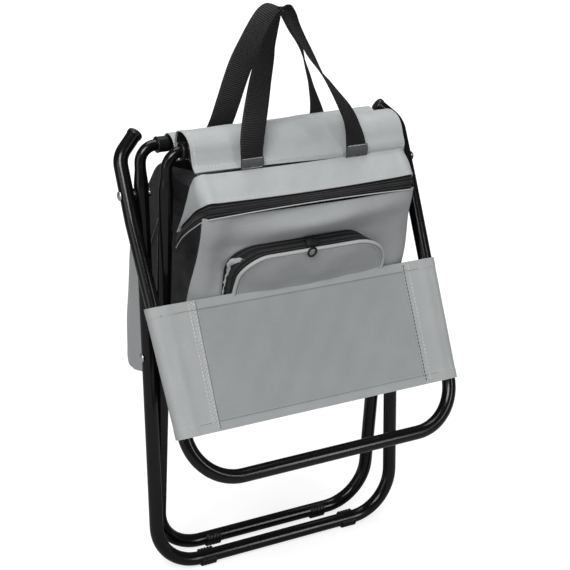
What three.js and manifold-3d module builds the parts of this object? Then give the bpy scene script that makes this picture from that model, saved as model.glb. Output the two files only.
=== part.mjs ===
// Folding cooler stool, folded for carrying. Millimetres, +Z up, +X to the sitter's left-hand side seen
// from the front, the front of the stool towards -Y, the floor at z = 0.
//
// Two steel U frames cross at a riveted pivot. Their upper ends neck down, turn inwards and plug into the
// two seat bars, which run in the sleeves of the seat cloth. A third U, the backrest, is riveted outside
// the outer frame and hangs in front of the cooler bag, which is sewn to the seat cloth.

import * as THREE from 'three';
import Module from 'manifold-3d';
import { mergeVertices } from 'three/addons/utils/BufferGeometryUtils.js';

const wasm = await Module();
wasm.setup();

// Driving dimensions of the steel frames
const TUBE_RADIUS = 8;
const NECK_RADIUS = 6.25;
const TUBE_SPACING = 17;
const OUTER_HALF_WIDTH = 160.4;
const INNER_HALF_WIDTH = OUTER_HALF_WIDTH - TUBE_SPACING;
const BACK_HALF_WIDTH = OUTER_HALF_WIDTH + TUBE_SPACING;
const LEG_BELOW_PIVOT = 267;
const LEG_ABOVE_PIVOT = 239;
const LEG_LEAN = THREE.MathUtils.degToRad(4);
const SEAT_BEND_RADIUS = 18;
const FLOOR_BEND_RADIUS = 55;
const NECK_INSERT = 30;
const TUBE_SIDES = 16;

// Driving dimensions of the backrest frame
const BACK_RIVET_UP_LEG = 188;
const BACK_LENGTH = 320;
const BACK_LEAN = THREE.MathUtils.degToRad(27);
const BACK_STRAIGHT = 30;
const BACK_CLOSING_LEFT = 13.8;
const BACK_CLOSING_RIGHT = 4.1;
const HOOK_STRAIGHT = 42;
const HOOK_BENT = 31;
const HOOK_BEND_RADIUS = 25;

// Feet, rivets and bushes
const FOOT_RADIUS = 10.5;
const FOOT_LENGTH = 19;
const FOOT_RIBS = 5;
const FOOT_FLAT = FOOT_RADIUS - 0.4;
const INNER_FOOT_X = 73;
const OUTER_FOOT_X = 97;
const RIVET_RADIUS = 3;
const RIVET_HEAD_RADIUS = 5.2;
const RIVET_HEAD_HEIGHT = 2.2;
const BUSH_RADIUS = 9.4;
const GAP = 0.3;

// Heights and places worked out from the frames
const PIVOT_Z = LEG_BELOW_PIVOT * Math.cos(LEG_LEAN) + FOOT_FLAT;
const PIVOT_Y = -1.68;
const BACK_RIVET_Y = BACK_RIVET_UP_LEG * Math.sin(LEG_LEAN);
const BACK_RIVET_Z = BACK_RIVET_UP_LEG * Math.cos(LEG_LEAN);

// Cloth
const CLOTH = 1.5;
const PADDED = 3;
const SLEEVE_HALF_WIDTH = 125;
const BAG_HALF_WIDTH = 131;
const BAND_TOP = 125;
const BAND_BOTTOM = 267;
const BAND_HEM_LEFT = -126.5;
const BAND_HEM_RIGHT = 136.2;
const WEB_WIDTH = 25;
const WEB_THICKNESS = 1.6;
const POCKET_CENTRE_X = 7.5;
const POCKET_HALF_WIDTH = 101;
const POCKET_DEPTH = 12;

const V = (x, y, z) => new THREE.Vector3(x, y, z);

// Materials
const material = (color, roughness, metalness) =>
  new THREE.MeshStandardMaterial({ color, roughness, metalness });
const blackSteel = material(0x1b1b1c, 0.35, 0.3);
const rivetSteel = material(0xc9cacc, 0.3, 0.9);
const blackPlastic = material(0x161617, 0.55, 0);
const greyCloth = material(0x9a9d9f, 0.85, 0);
const darkGreyCloth = material(0x8c8f91, 0.85, 0);
const charcoalCloth = material(0x2b2b2e, 0.8, 0);
const blackWebbing = material(0x232324, 0.85, 0);
const zipTape = material(0x1e1e20, 0.8, 0);
const pipingCloth = material(0xb9bcba, 0.7, 0);
const foil = material(0xc8cace, 0.3, 0.6);

const model = new THREE.Group();
model.position.set(0, PIVOT_Y, PIVOT_Z);

// Group for what is drawn in the plane of one leg frame, turned about the pivot
function leaning(angle) {
  const group = new THREE.Group();
  group.rotation.x = angle;
  model.add(group);
  return group;
}

const outerFrame = leaning(-LEG_LEAN);
const innerFrame = leaning(LEG_LEAN);
const backrest = leaning(-BACK_LEAN);
backrest.position.set(0, BACK_RIVET_Y, BACK_RIVET_Z);

function add(parent, name, geometry, mat) {
  const mesh = new THREE.Mesh(geometry, mat);
  mesh.name = name;
  parent.add(mesh);
  return mesh;
}

// A closed mesh from points and triangle corners, turned so that its faces point out
function closedMesh(points, corners) {
  let volume = 0;
  for (let i = 0; i < corners.length; i += 3) {
    const [a, b, c] = [points[corners[i]], points[corners[i + 1]], points[corners[i + 2]]];
    volume += a.dot(b.clone().cross(c));
  }
  if (volume < 0) {
    for (let i = 0; i < corners.length; i += 3) {
      [corners[i + 1], corners[i + 2]] = [corners[i + 2], corners[i + 1]];
    }
  }
  const geometry = new THREE.BufferGeometry();
  geometry.setAttribute('position', new THREE.Float32BufferAttribute(points.flatMap((p) => p.toArray()), 3));
  geometry.setIndex(corners);
  return geometry;
}

// A bent sheet between two faces, each a list of rows of points
function sheet(front, back) {
  const rows = front.length;
  const columns = front[0].length;
  const points = [...front.flat(), ...back.flat()];
  const corners = [];
  const at = (side, i, j) => side * rows * columns + i * columns + j;
  const quad = (a, b, c, d) => corners.push(a, b, c, a, c, d);
  for (let i = 0; i + 1 < rows; i += 1) {
    for (let j = 0; j + 1 < columns; j += 1) {
      quad(at(0, i, j), at(0, i, j + 1), at(0, i + 1, j + 1), at(0, i + 1, j));
      quad(at(1, i, j), at(1, i + 1, j), at(1, i + 1, j + 1), at(1, i, j + 1));
    }
    quad(at(0, i, 0), at(0, i + 1, 0), at(1, i + 1, 0), at(1, i, 0));
    const last = columns - 1;
    quad(at(0, i + 1, last), at(0, i, last), at(1, i, last), at(1, i + 1, last));
  }
  for (let j = 0; j + 1 < columns; j += 1) {
    quad(at(0, 0, j + 1), at(0, 0, j), at(1, 0, j), at(1, 0, j + 1));
    const last = rows - 1;
    quad(at(0, last, j), at(0, last, j + 1), at(1, last, j + 1), at(1, last, j));
  }
  return closedMesh(points, corners);
}

// Normals of a line of [y, z] points, to the left of its direction
function lineNormals(line) {
  return line.map((p, i) => {
    const a = line[Math.max(i - 1, 0)];
    const b = line[Math.min(i + 1, line.length - 1)];
    const length = Math.hypot(b[0] - a[0], b[1] - a[1]);
    return [-(b[1] - a[1]) / length, (b[0] - a[0]) / length];
  });
}

// Cloth that follows a side line of [y, z] points and is straight along X
function strip(line, x0, x1, thickness) {
  const normals = lineNormals(line);
  const face = (side) =>
    [x0, x1].map((x) =>
      line.map((p, i) => V(x, p[0] + normals[i][0] * side, p[1] + normals[i][1] * side)));
  return sheet(face(thickness / 2), face(-thickness / 2));
}

// Points of a path in the XZ plane, with its corners rounded
function roundedPath(points, radii, steps = 7) {
  const path = [points[0].clone()];
  for (let i = 1; i + 1 < points.length; i += 1) {
    const before = points[i - 1].clone().sub(points[i]).normalize();
    const after = points[i + 1].clone().sub(points[i]).normalize();
    const turn = Math.PI - before.angleTo(after);
    const reach = radii[i - 1] * Math.tan(turn / 2);
    const centreWay = before.clone().add(after).normalize();
    const centre = points[i].clone().addScaledVector(centreWay, radii[i - 1] / Math.cos(turn / 2));
    const start = points[i].clone().addScaledVector(before, reach).sub(centre);
    const axis = before.clone().cross(after).normalize().negate();
    for (let k = 0; k <= steps; k += 1) {
      path.push(start.clone().applyAxisAngle(axis, (turn * k) / steps).add(centre));
    }
  }
  path.push(points[points.length - 1].clone());
  return path;
}

// A closed round tube along a path in the XZ plane
function tube(path, radiusAt, sides = TUBE_SIDES) {
  const across = V(0, 1, 0);
  const points = [];
  path.forEach((centre, i) => {
    const ahead = path[Math.min(i + 1, path.length - 1)];
    const behind = path[Math.max(i - 1, 0)];
    const side = ahead.clone().sub(behind).normalize().cross(across);
    for (let k = 0; k < sides; k += 1) {
      const angle = (2 * Math.PI * (k + 0.5)) / sides;
      const reach = radiusAt(centre) / Math.cos(Math.PI / sides / 2);
      points.push(centre.clone()
        .addScaledVector(side, Math.cos(angle) * reach)
        .addScaledVector(across, Math.sin(angle) * reach));
    }
  });
  const corners = [];
  for (let i = 0; i + 1 < path.length; i += 1) {
    for (let k = 0; k < sides; k += 1) {
      const next = (k + 1) % sides;
      const [a, b] = [i * sides + k, i * sides + next];
      corners.push(a, b, b + sides, a, b + sides, a + sides);
    }
  }
  const last = points.length;
  points.push(path[0].clone(), path[path.length - 1].clone());
  for (let k = 0; k < sides; k += 1) {
    const next = (k + 1) % sides;
    corners.push(last, next, k);
    corners.push(last + 1, last - sides + k, last - sides + next);
  }
  return closedMesh(points, corners);
}

// A turned solid about the X axis from a closed [x, radius] outline
function turned(outline, segments = 20) {
  const profile = outline.map(([x, radius]) => new THREE.Vector2(radius, x));
  const geometry = new THREE.LatheGeometry(profile, segments);
  geometry.rotateZ(-Math.PI / 2);
  return weld(geometry);
}

function weld(geometry) {
  geometry.deleteAttribute('normal');
  geometry.deleteAttribute('uv');
  const merged = mergeVertices(geometry, 1e-4);
  const at = merged.getAttribute('position');
  const points = Array.from({ length: at.count }, (_, i) => V(at.getX(i), at.getY(i), at.getZ(i)));
  const index = [...merged.index.array];
  const kept = [];
  for (let i = 0; i < index.length; i += 3) {
    const [a, b, c] = [index[i], index[i + 1], index[i + 2]];
    if (a !== b && b !== c && a !== c) kept.push(a, b, c);
  }
  return closedMesh(points, kept);
}

function toManifold(geometry) {
  const vertProperties = new Float32Array(geometry.getAttribute('position').array);
  const triVerts = new Uint32Array(geometry.index.array);
  return new wasm.Manifold(new wasm.Mesh({ numProp: 3, vertProperties, triVerts }));
}

function cut(geometry, ...tools) {
  let solid = toManifold(geometry);
  for (const tool of tools) solid = solid.subtract(toManifold(tool));
  const mesh = solid.getMesh();
  const result = new THREE.BufferGeometry();
  result.setAttribute('position', new THREE.Float32BufferAttribute(mesh.vertProperties, 3));
  result.setIndex([...mesh.triVerts]);
  return result;
}

// A rod along X between two places
function rod(x0, x1, radius, y = 0, z = 0, segments = 20) {
  const geometry = turned([[x0, 0], [x0, radius], [x1, radius], [x1, 0]], segments);
  geometry.translate(0, y, z);
  return geometry;
}

const rivetHole = (x, z) => rod(x - 12, x + 12, RIVET_RADIUS + GAP, 0, z);

// The steel U frames: the legs neck down above their last straight stretch
function legFrame(halfWidth, holes) {
  const top = LEG_ABOVE_PIVOT;
  const neckEnd = halfWidth - SEAT_BEND_RADIUS - NECK_INSERT;
  const path = roundedPath(
    [V(-neckEnd, 0, top), V(-halfWidth, 0, top), V(-halfWidth, 0, -LEG_BELOW_PIVOT),
      V(halfWidth, 0, -LEG_BELOW_PIVOT), V(halfWidth, 0, top), V(neckEnd, 0, top)],
    [SEAT_BEND_RADIUS, FLOOR_BEND_RADIUS, FLOOR_BEND_RADIUS, SEAT_BEND_RADIUS],
  );
  const neckStart = top - SEAT_BEND_RADIUS - 30;
  const withNecks = path.flatMap((p, i) => {
    const q = path[i + 1];
    if (!q || Math.abs(q.z - p.z) < 200) return [p];
    const neck = V(p.x, 0, neckStart);
    return [p, neck];
  });
  const radiusAt = (p) => {
    const t = THREE.MathUtils.clamp((p.z - neckStart) / 34, 0, 1);
    return THREE.MathUtils.lerp(TUBE_RADIUS, NECK_RADIUS, t * t * (3 - 2 * t));
  };
  return cut(tube(withNecks, radiusAt), ...holes);
}

const pivotHoles = (x) => [rivetHole(-x, 0), rivetHole(x, 0)];
const backHoles = (x) => [rivetHole(-x, BACK_RIVET_UP_LEG), rivetHole(x, BACK_RIVET_UP_LEG)];
add(outerFrame, 'outer_leg_frame',
  legFrame(OUTER_HALF_WIDTH, [...pivotHoles(OUTER_HALF_WIDTH), ...backHoles(OUTER_HALF_WIDTH)]), blackSteel);
add(innerFrame, 'inner_leg_frame', legFrame(INNER_HALF_WIDTH, pivotHoles(INNER_HALF_WIDTH)), blackSteel);

// Seat bars: pipes over the necks of the legs, with a ribbed bush at each end
function seatBar(parent, place, halfWidth) {
  const reach = halfWidth - SEAT_BEND_RADIUS - 1;
  const bush = 7;
  const end = reach - bush - GAP;
  const bore = NECK_RADIUS + GAP;
  const pipe = turned([[-end, bore], [-end, TUBE_RADIUS], [end, TUBE_RADIUS], [end, bore], [-end, bore]]);
  pipe.translate(0, 0, LEG_ABOVE_PIVOT);
  add(parent, `${place}_seat_bar`, pipe, blackSteel);
  for (const [side, sign] of [['left', -1], ['right', 1]]) {
    const ring = [[0, bore], [0, BUSH_RADIUS], [2.6, BUSH_RADIUS], [2.6, TUBE_RADIUS],
      [bush - 2.6, TUBE_RADIUS], [bush - 2.6, BUSH_RADIUS], [bush, BUSH_RADIUS], [bush, bore], [0, bore]];
    const body = turned(ring.map(([x, radius]) => [sign * (reach - x), radius]));
    body.translate(0, 0, LEG_ABOVE_PIVOT);
    add(parent, `${place}_bar_bush_${side}`, body, blackPlastic);
  }
}
seatBar(outerFrame, 'rear', OUTER_HALF_WIDTH);
seatBar(innerFrame, 'front', INNER_HALF_WIDTH);

// Rivets with two domed heads, and the thin washers between the tubes
function rivet(parent, name, sign, from, to, z) {
  const low = from - TUBE_RADIUS - GAP;
  const high = to + TUBE_RADIUS + GAP;
  const dome = (x, way) => [1, 0.86, 0.5, 0].map((share, i) =>
    [x + way * RIVET_HEAD_HEIGHT * [0.35, 0.7, 0.95, 1][i], RIVET_HEAD_RADIUS * share]);
  const outline = [...dome(low, -1).reverse(), [low, RIVET_HEAD_RADIUS], [low, RIVET_RADIUS],
    [high, RIVET_RADIUS], [high, RIVET_HEAD_RADIUS], ...dome(high, 1)];
  const body = turned(outline.map(([x, radius]) => [sign * x, radius]), 16);
  body.translate(0, 0, z);
  add(parent, name, body, rivetSteel);
}

function washer(parent, name, x, z) {
  const half = 0.2;
  const bore = RIVET_RADIUS + GAP;
  const body = turned([[x - half, bore], [x - half, 6.5], [x + half, 6.5], [x + half, bore], [x - half, bore]]);
  body.translate(0, 0, z);
  add(parent, name, body, blackPlastic);
}

for (const [side, sign] of [['left', -1], ['right', 1]]) {
  const between = (a, b) => (sign * (a + b)) / 2;
  rivet(model, `pivot_rivet_${side}`, sign, INNER_HALF_WIDTH, OUTER_HALF_WIDTH, 0);
  washer(model, `pivot_washer_${side}`, between(INNER_HALF_WIDTH, OUTER_HALF_WIDTH), 0);
  rivet(outerFrame, `backrest_rivet_${side}`, sign, OUTER_HALF_WIDTH, BACK_HALF_WIDTH, BACK_RIVET_UP_LEG);
  washer(outerFrame, `backrest_washer_${side}`, between(OUTER_HALF_WIDTH, BACK_HALF_WIDTH), BACK_RIVET_UP_LEG);
}

// Foot pads: ribbed collars round the floor bars, open on the side that is on top in use, with a small
// flat where the folded stool stands on them
function foot(parent, name, x, facing, lean) {
  const inner = TUBE_RADIUS + GAP;
  const low = FOOT_RADIUS - 1.3;
  const pitch = FOOT_LENGTH / (2 * FOOT_RIBS - 1);
  const outline = [[0, inner]];
  for (let i = 0; i < 2 * FOOT_RIBS - 1; i += 1) {
    const radius = i % 2 ? low : FOOT_RADIUS;
    outline.push([i * pitch, radius], [(i + 1) * pitch, radius]);
  }
  outline.push([FOOT_LENGTH, inner], [0, inner]);
  const collar = turned(outline, 24);
  const box = new THREE.BoxGeometry(2 * FOOT_LENGTH, 2 * FOOT_RADIUS, FOOT_RADIUS);
  box.translate(FOOT_LENGTH / 2, 0, FOOT_RADIUS * 0.5 + 5.5);
  const mouth = weld(box);
  mouth.rotateX(facing);
  const ground = weld(new THREE.BoxGeometry(2 * FOOT_LENGTH, 3 * FOOT_RADIUS, 2));
  ground.rotateX(-lean);
  const drop = FOOT_FLAT + 1;
  ground.translate(FOOT_LENGTH / 2, -drop * Math.sin(lean), -drop * Math.cos(lean));
  const body = cut(collar, mouth, ground);
  body.translate(x - FOOT_LENGTH / 2, 0, -LEG_BELOW_PIVOT);
  add(parent, name, body, blackPlastic);
}

const USE_TURN = THREE.MathUtils.degToRad(34);
for (const [side, sign] of [['left', -1], ['right', 1]]) {
  foot(outerFrame, `outer_foot_${side}`, sign * OUTER_FOOT_X, USE_TURN, -LEG_LEAN);
  foot(innerFrame, `inner_foot_${side}`, sign * INNER_FOOT_X, -USE_TURN, LEG_LEAN);
}

// Backrest: a U with short hooked ends that stop against the outer legs when it is up
const hookReach = HOOK_BENT * Math.SQRT1_2;
const hookTip = (sign) => V(sign * (BACK_HALF_WIDTH - hookReach), 0, HOOK_STRAIGHT + hookReach);
const hookBend = (sign) => V(sign * BACK_HALF_WIDTH, 0, HOOK_STRAIGHT);
const backCorner = (sign) => V(sign * BACK_HALF_WIDTH, 0, -BACK_LENGTH);
const upright = roundedPath(
  [hookTip(-1), hookBend(-1), backCorner(-1), backCorner(1), hookBend(1), hookTip(1)],
  [HOOK_BEND_RADIUS, FLOOR_BEND_RADIUS, FLOOR_BEND_RADIUS, HOOK_BEND_RADIUS],
);

// Below the rivets the backrest's legs close in a little, the left one more than the right
function closingIn(sign, z) {
  const whole = sign < 0 ? BACK_CLOSING_LEFT : BACK_CLOSING_RIGHT;
  return (whole * Math.max(0, -BACK_STRAIGHT - z)) / (BACK_LENGTH - BACK_STRAIGHT);
}
const backPath = upright.flatMap((p, i) => {
  const q = upright[i + 1];
  const closed = V(p.x - Math.sign(p.x) * closingIn(Math.sign(p.x), p.z), 0, p.z);
  return q && Math.abs(q.z - p.z) > 200 ? [closed, V(p.x, 0, -BACK_STRAIGHT)] : [closed];
});
add(backrest, 'backrest_frame', cut(tube(backPath, () => TUBE_RADIUS),
  rivetHole(-BACK_HALF_WIDTH, 0), rivetHole(BACK_HALF_WIDTH, 0)), blackSteel);

for (const [side, sign] of [['left', -1], ['right', 1]]) {
  const cap = turned([[0, 0], [0, 8], [2.2, 8], [3.4, 7.2], [4, 5.4], [4, 0]], 20);
  cap.rotateY(sign < 0 ? -Math.PI / 4 : -3 * Math.PI / 4);
  const tip = hookTip(sign).add(V(-sign, 0, 1).normalize().multiplyScalar(GAP));
  cap.translate(tip.x, tip.y, tip.z);
  add(backrest, `backrest_cap_${side}`, cap, blackPlastic);
}

// Backrest band: a centre panel between two sleeves that are folded round the tubes
const bandFront = TUBE_RADIUS + 0.6;
const band = (shape) => {
  const geometry = new THREE.ExtrudeGeometry(shape, {
    depth: BAND_BOTTOM - BAND_TOP, bevelEnabled: false, curveSegments: 8,
  });
  geometry.translate(0, 0, -BAND_BOTTOM);
  return weld(geometry);
};

function bandCentre() {
  const shape = new THREE.Shape();
  const [x0, x1] = [BAND_HEM_LEFT + GAP, BAND_HEM_RIGHT - GAP];
  shape.moveTo(x0, -bandFront);
  shape.lineTo(x1, -bandFront);
  shape.lineTo(x1, -bandFront - CLOTH);
  shape.lineTo(x0, -bandFront - CLOTH);
  shape.closePath();
  return band(shape);
}

function bandSleeve(sign, hem) {
  const tubeX = sign * BACK_HALF_WIDTH;
  const wrap = (radius, fold) => {
    const lean = Math.atan2(bandFront, fold) - Math.acos(radius / Math.hypot(fold, bandFront));
    const points = [];
    for (let k = 0; k <= 14; k += 1) {
      const angle = THREE.MathUtils.lerp(-Math.PI / 2, Math.PI + lean, k / 14);
      points.push(new THREE.Vector2(tubeX + sign * radius * Math.cos(angle), radius * Math.sin(angle)));
    }
    points.push(new THREE.Vector2(tubeX - sign * fold, -bandFront));
    return points;
  };
  const edge = [
    new THREE.Vector2(hem, -bandFront - CLOTH),
    ...wrap(bandFront + CLOTH, 30),
    new THREE.Vector2(hem, -bandFront),
  ];
  const shape = new THREE.Shape(sign < 0 ? edge.reverse() : edge);
  shape.holes.push(new THREE.Path(wrap(bandFront + 0.05, 24)));
  const geometry = band(shape);
  const at = geometry.getAttribute('position');
  for (let i = 0; i < at.count; i += 1) {
    const onTube = Math.abs(at.getX(i) - hem) > 1;
    if (onTube) at.setX(i, at.getX(i) - sign * closingIn(sign, at.getZ(i)));
  }
  return geometry;
}

add(backrest, 'backrest_band_centre', bandCentre(), darkGreyCloth);
add(backrest, 'backrest_band_sleeve_left', bandSleeve(-1, BAND_HEM_LEFT), greyCloth);
add(backrest, 'backrest_band_sleeve_right', bandSleeve(1, BAND_HEM_RIGHT), greyCloth);

// Seat cloth, drawn from the side as [y, z] lines about the pivot: a loose loop over each bar with its hem,
// and the middle, which drops in one fold between the bars
const frontSleeveLine = [[-57, 225.5], [-50.5, 233], [-46, 241], [-41.5, 251], [-33.5, 258], [-21, 261],
  [-9, 257.5], [-3.6, 249], [-2.4, 237], [-2.2, 229]];
const rearSleeveLine = [[2.2, 229], [2.4, 237], [4.6, 247.5], [11, 253.5], [19.5, 254], [26, 248.5],
  [30, 239], [31.5, 226]];
const seatFoldLine = [[-2.1, 227.7], [-2, 214], [-1.9, 203], [0, 199], [1.9, 203], [2, 214], [2.1, 227.7]];
const acrossSeat = (line) => strip(line, -SLEEVE_HALF_WIDTH, SLEEVE_HALF_WIDTH, CLOTH);
add(model, 'seat_sleeve_front', acrossSeat(frontSleeveLine), greyCloth);
add(model, 'seat_sleeve_rear', acrossSeat(rearSleeveLine), greyCloth);
add(model, 'seat_fold', acrossSeat(seatFoldLine), greyCloth);

// Handles: webbing loops sewn to the hems, the front one with a half twist at its top. A station is
// [x, y, z, turn of the webbing out of the loop's plane in degrees].
const frontHandleStations = [[-63.3, -57.2, 236.4, 0], [-62.9, -56, 242.4, -4], [-61.9, -54.5, 252.7, -14],
  [-57.3, -50, 272.8, -22], [-51.7, -45.5, 292.7, -14], [-45.6, -40.5, 312.5, -3], [-37.9, -36, 335.3, 11],
  [-32.1, -33, 350.1, 25], [-25.4, -30.5, 363.9, 35], [-19.8, -28.5, 373.6, 45], [-14.9, -27, 381.4, 60],
  [-9.1, -26, 383.5, 80], [-4.1, -26, 378.4, 88], [-0.6, -26.5, 369.7, 90], [5.6, -28.5, 355.8, 91],
  [13, -31, 341.7, 93], [19.7, -33.5, 328.9, 96], [27, -36.5, 316.7, 104], [32.3, -38.5, 308.4, 110],
  [38.7, -41.5, 298.6, 119], [44.2, -44.5, 289.3, 126], [50.1, -48, 279, 135], [55.4, -50.8, 269.4, 143],
  [59.7, -54, 258, 153], [61.6, -57, 247.8, 163], [63.3, -58.8, 236.6, 180]];
const rearHandleStations = [[-63.2, 35.2, 230.2, 0], [-60.8, 34.8, 236.5, -6], [-57.1, 30.6, 249.6, -14],
  [-52.8, 21, 276.3, -26], [-48.5, 13.5, 300.9, -29], [-42.7, 8.5, 322.3, -30], [-35.4, 5, 339.3, -34],
  [-25, 2, 360.1, -42], [-17.2, 1, 372.4, -56], [-7.6, 1, 378.7, -78], [2.5, 1.5, 375.2, -90],
  [9.5, 2.5, 363.7, -90], [18.1, 4, 348.6, -86], [26.5, 6, 334.4, -76], [32.7, 8.5, 321.2, -66],
  [38.3, 11, 307.8, -61], [44.2, 14, 294.8, -56], [49.3, 17.5, 281.5, -48], [55.7, 23, 266.9, -36],
  [60.9, 28.5, 254.6, -22], [65.2, 33, 243.6, -10], [68.8, 35.2, 230.6, 0]];

function webbing(stations) {
  const centre = stations.map(([x, y, z]) => V(x, y, z));
  const rows = stations.map((station, i) => {
    const ahead = centre[Math.min(i + 1, centre.length - 1)];
    const behind = centre[Math.max(i - 1, 0)];
    const along = ahead.clone().sub(behind).normalize();
    const inPlane = along.clone().cross(V(0, 1, 0)).normalize();
    const turn = THREE.MathUtils.degToRad(station[3]);
    const across = inPlane.applyAxisAngle(along, -turn);
    const normal = along.clone().cross(across).normalize();
    const at = (side, face) => centre[i].clone()
      .addScaledVector(across, (side * WEB_WIDTH) / 2)
      .addScaledVector(normal, (face * WEB_THICKNESS) / 2);
    return { front: [at(-1, 1), at(1, 1)], back: [at(-1, -1), at(1, -1)] };
  });
  return sheet(rows.map((row) => row.front), rows.map((row) => row.back));
}
add(model, 'front_handle', webbing(frontHandleStations), blackWebbing);
add(model, 'rear_handle', webbing(rearHandleStations), blackWebbing);

// Sewn patches that hold the ends of the webbing on the hems
const frontPatchLine = [[-60, 222.6], [-56.6, 228.5], [-53.2, 233.6]];
const rearPatchLine = [[34.2, 216.8], [34.2, 225]];
function patch(name, line, x) {
  const half = WEB_WIDTH / 2 + 1;
  add(model, name, strip(line, x - half, x + half, CLOTH), charcoalCloth);
}
patch('front_handle_patch_left', frontPatchLine.map(([y, z]) => [y - 1.6, z + 0.8]), -63.5);
patch('front_handle_patch_right', frontPatchLine.map(([y, z]) => [y - 1.6, z + 0.8]), 64);
patch('rear_handle_patch_left', rearPatchLine, -64.3);
patch('rear_handle_patch_right', rearPatchLine, 69.6);

// Cooler bag. Its front leans back from the zip, its back bulges behind the legs and its sides fold inwards.
const bagFrontLine = [[-80.6, 180], [-70, 148], [-56, 112], [-44, 78], [-38, 40], [-36, -8], [-36, -60]];
const bagRearLine = [[30, 213], [44, 206], [68, 190], [92, 163], [112, 130], [127, 94], [136, 50],
  [140.5, 10], [143, -25], [143.5, -46], [140, -60]];
const FLOOR_OF_BAG = -64;

// Height to depth along a side line whose z only falls
function depthAt(line, z) {
  for (let i = 0; i + 1 < line.length; i += 1) {
    const [a, b] = [line[i], line[i + 1]];
    if (z <= a[1] && z >= b[1]) return a[0] + ((b[0] - a[0]) * (a[1] - z)) / (a[1] - b[1]);
  }
  return z > line[0][1] ? line[0][0] : line[line.length - 1][0];
}

function bagFront() {
  const half = BAG_HALF_WIDTH - 2.5;
  const columns = [-1, -0.6, -0.2, 0.2, 0.6, 1];
  const face = (inset) => bagFrontLine.map(([y, z]) =>
    columns.map((u) => V(u * half, y + inset, z)));
  return sheet(face(-PADDED / 2), face(PADDED / 2));
}

// The rear panel turns round the corners of the bag on each side
const REAR_RETURN = 46;
const REAR_CORNER = 14;
function bagRear() {
  const section = (inset, y, side) => {
    const half = BAG_HALF_WIDTH - inset;
    const corner = REAR_CORNER - inset;
    const points = [V(side * half, Math.max(y - inset - REAR_RETURN, y * 0.35), 0)];
    for (let k = 0; k <= 3; k += 1) {
      const angle = (Math.PI / 2) * (k / 3);
      const across = half - corner + corner * Math.cos(angle);
      points.push(V(side * across, y - inset - corner + corner * Math.sin(angle), 0));
    }
    return points;
  };
  const row = (inset, [y, z]) => {
    const left = section(inset, y, -1);
    const right = section(inset, y, 1).reverse();
    return [...left, ...right].map((p) => p.setZ(z));
  };
  const face = (inset) => bagRearLine.map((point) => row(inset, point));
  return sheet(face(0), face(PADDED));
}

// Side gussets run from the front panel in to a crease and out again to the rear return
function gusset(sign) {
  const rows = [168, 130, 78, 40, 0, -40, -60];
  const face = (inset) => rows.map((z) => {
    const front = depthAt(bagFrontLine, z) + 3.5;
    const rearAll = depthAt(bagRearLine, z);
    const rear = Math.max(rearAll - REAR_RETURN, rearAll * 0.35) - 3;
    const middle = (front + rear) / 2;
    const edge = BAG_HALF_WIDTH - 0.2;
    return [[edge, front], [edge - 9, front + (middle - front) * 0.4], [edge - 24, middle],
      [edge - 9, rear - (rear - middle) * 0.4], [edge, rear]].map(([x, y]) => V(sign * (x - inset), y, z));
  });
  return sheet(face(0), face(CLOTH));
}

function bagBase() {
  const half = BAG_HALF_WIDTH - 6;
  const [y0, y1] = [-34, 134];
  const corner = 10;
  const shape = new THREE.Shape();
  shape.moveTo(-half + corner, y0);
  shape.lineTo(half - corner, y0);
  shape.absarc(half - corner, y0 + corner, corner, -Math.PI / 2, 0, false);
  shape.absarc(half - corner, y1 - corner, corner, 0, Math.PI / 2, false);
  shape.absarc(-half + corner, y1 - corner, corner, Math.PI / 2, Math.PI, false);
  shape.absarc(-half + corner, y0 + corner, corner, Math.PI, 1.5 * Math.PI, false);
  const geometry = new THREE.ExtrudeGeometry(shape, { depth: PADDED, bevelEnabled: false, curveSegments: 3 });
  geometry.translate(0, 0, FLOOR_OF_BAG);
  return weld(geometry);
}

// Foil lining: an open-topped tub that lies against the inside of the padded walls
function foilLiner() {
  const levels = [150, 112, 78, 40, 0, FLOOR_OF_BAG + PADDED + 0.6];
  const row = (inset, z) => {
    const front = depthAt(bagFrontLine, z) + PADDED / 2 + 0.6 + inset;
    const rear = depthAt(bagRearLine, z) - PADDED - 0.8 - inset;
    const half = BAG_HALF_WIDTH - 28 - inset;
    return [V(-half, front, z), V(half, front, z), V(half, rear, z), V(-half, rear, z)];
  };
  const rings = [...levels.map((z) => row(0, z)), ...levels.slice().reverse().map((z, i) =>
    row(0.8, i === 0 ? z + 0.8 : z))];
  const points = rings.flat();
  const corners = [];
  for (let i = 0; i + 1 < rings.length; i += 1) {
    const floorStep = i === levels.length - 1;
    if (floorStep) continue;
    for (let k = 0; k < 4; k += 1) {
      const next = (k + 1) % 4;
      const [a, b] = [i * 4 + k, i * 4 + next];
      corners.push(a, b, b + 4, a, b + 4, a + 4);
    }
  }
  const lastOuter = (levels.length - 1) * 4;
  corners.push(lastOuter, lastOuter + 1, lastOuter + 2, lastOuter, lastOuter + 2, lastOuter + 3);
  const firstInner = lastOuter + 4;
  corners.push(firstInner, firstInner + 2, firstInner + 1, firstInner, firstInner + 3, firstInner + 2);
  const end = points.length - 4;
  for (let k = 0; k < 4; k += 1) {
    const next = (k + 1) % 4;
    corners.push(end + k, end + next, next, end + k, next, k);
  }
  return closedMesh(points, corners);
}

add(model, 'bag_front', bagFront(), greyCloth);
add(model, 'bag_rear', bagRear(), greyCloth);
add(model, 'bag_gusset_left', gusset(-1), charcoalCloth);
add(model, 'bag_gusset_right', gusset(1), charcoalCloth);
add(model, 'bag_base', bagBase(), greyCloth);
add(model, 'foil_liner', foilLiner(), foil);

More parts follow.
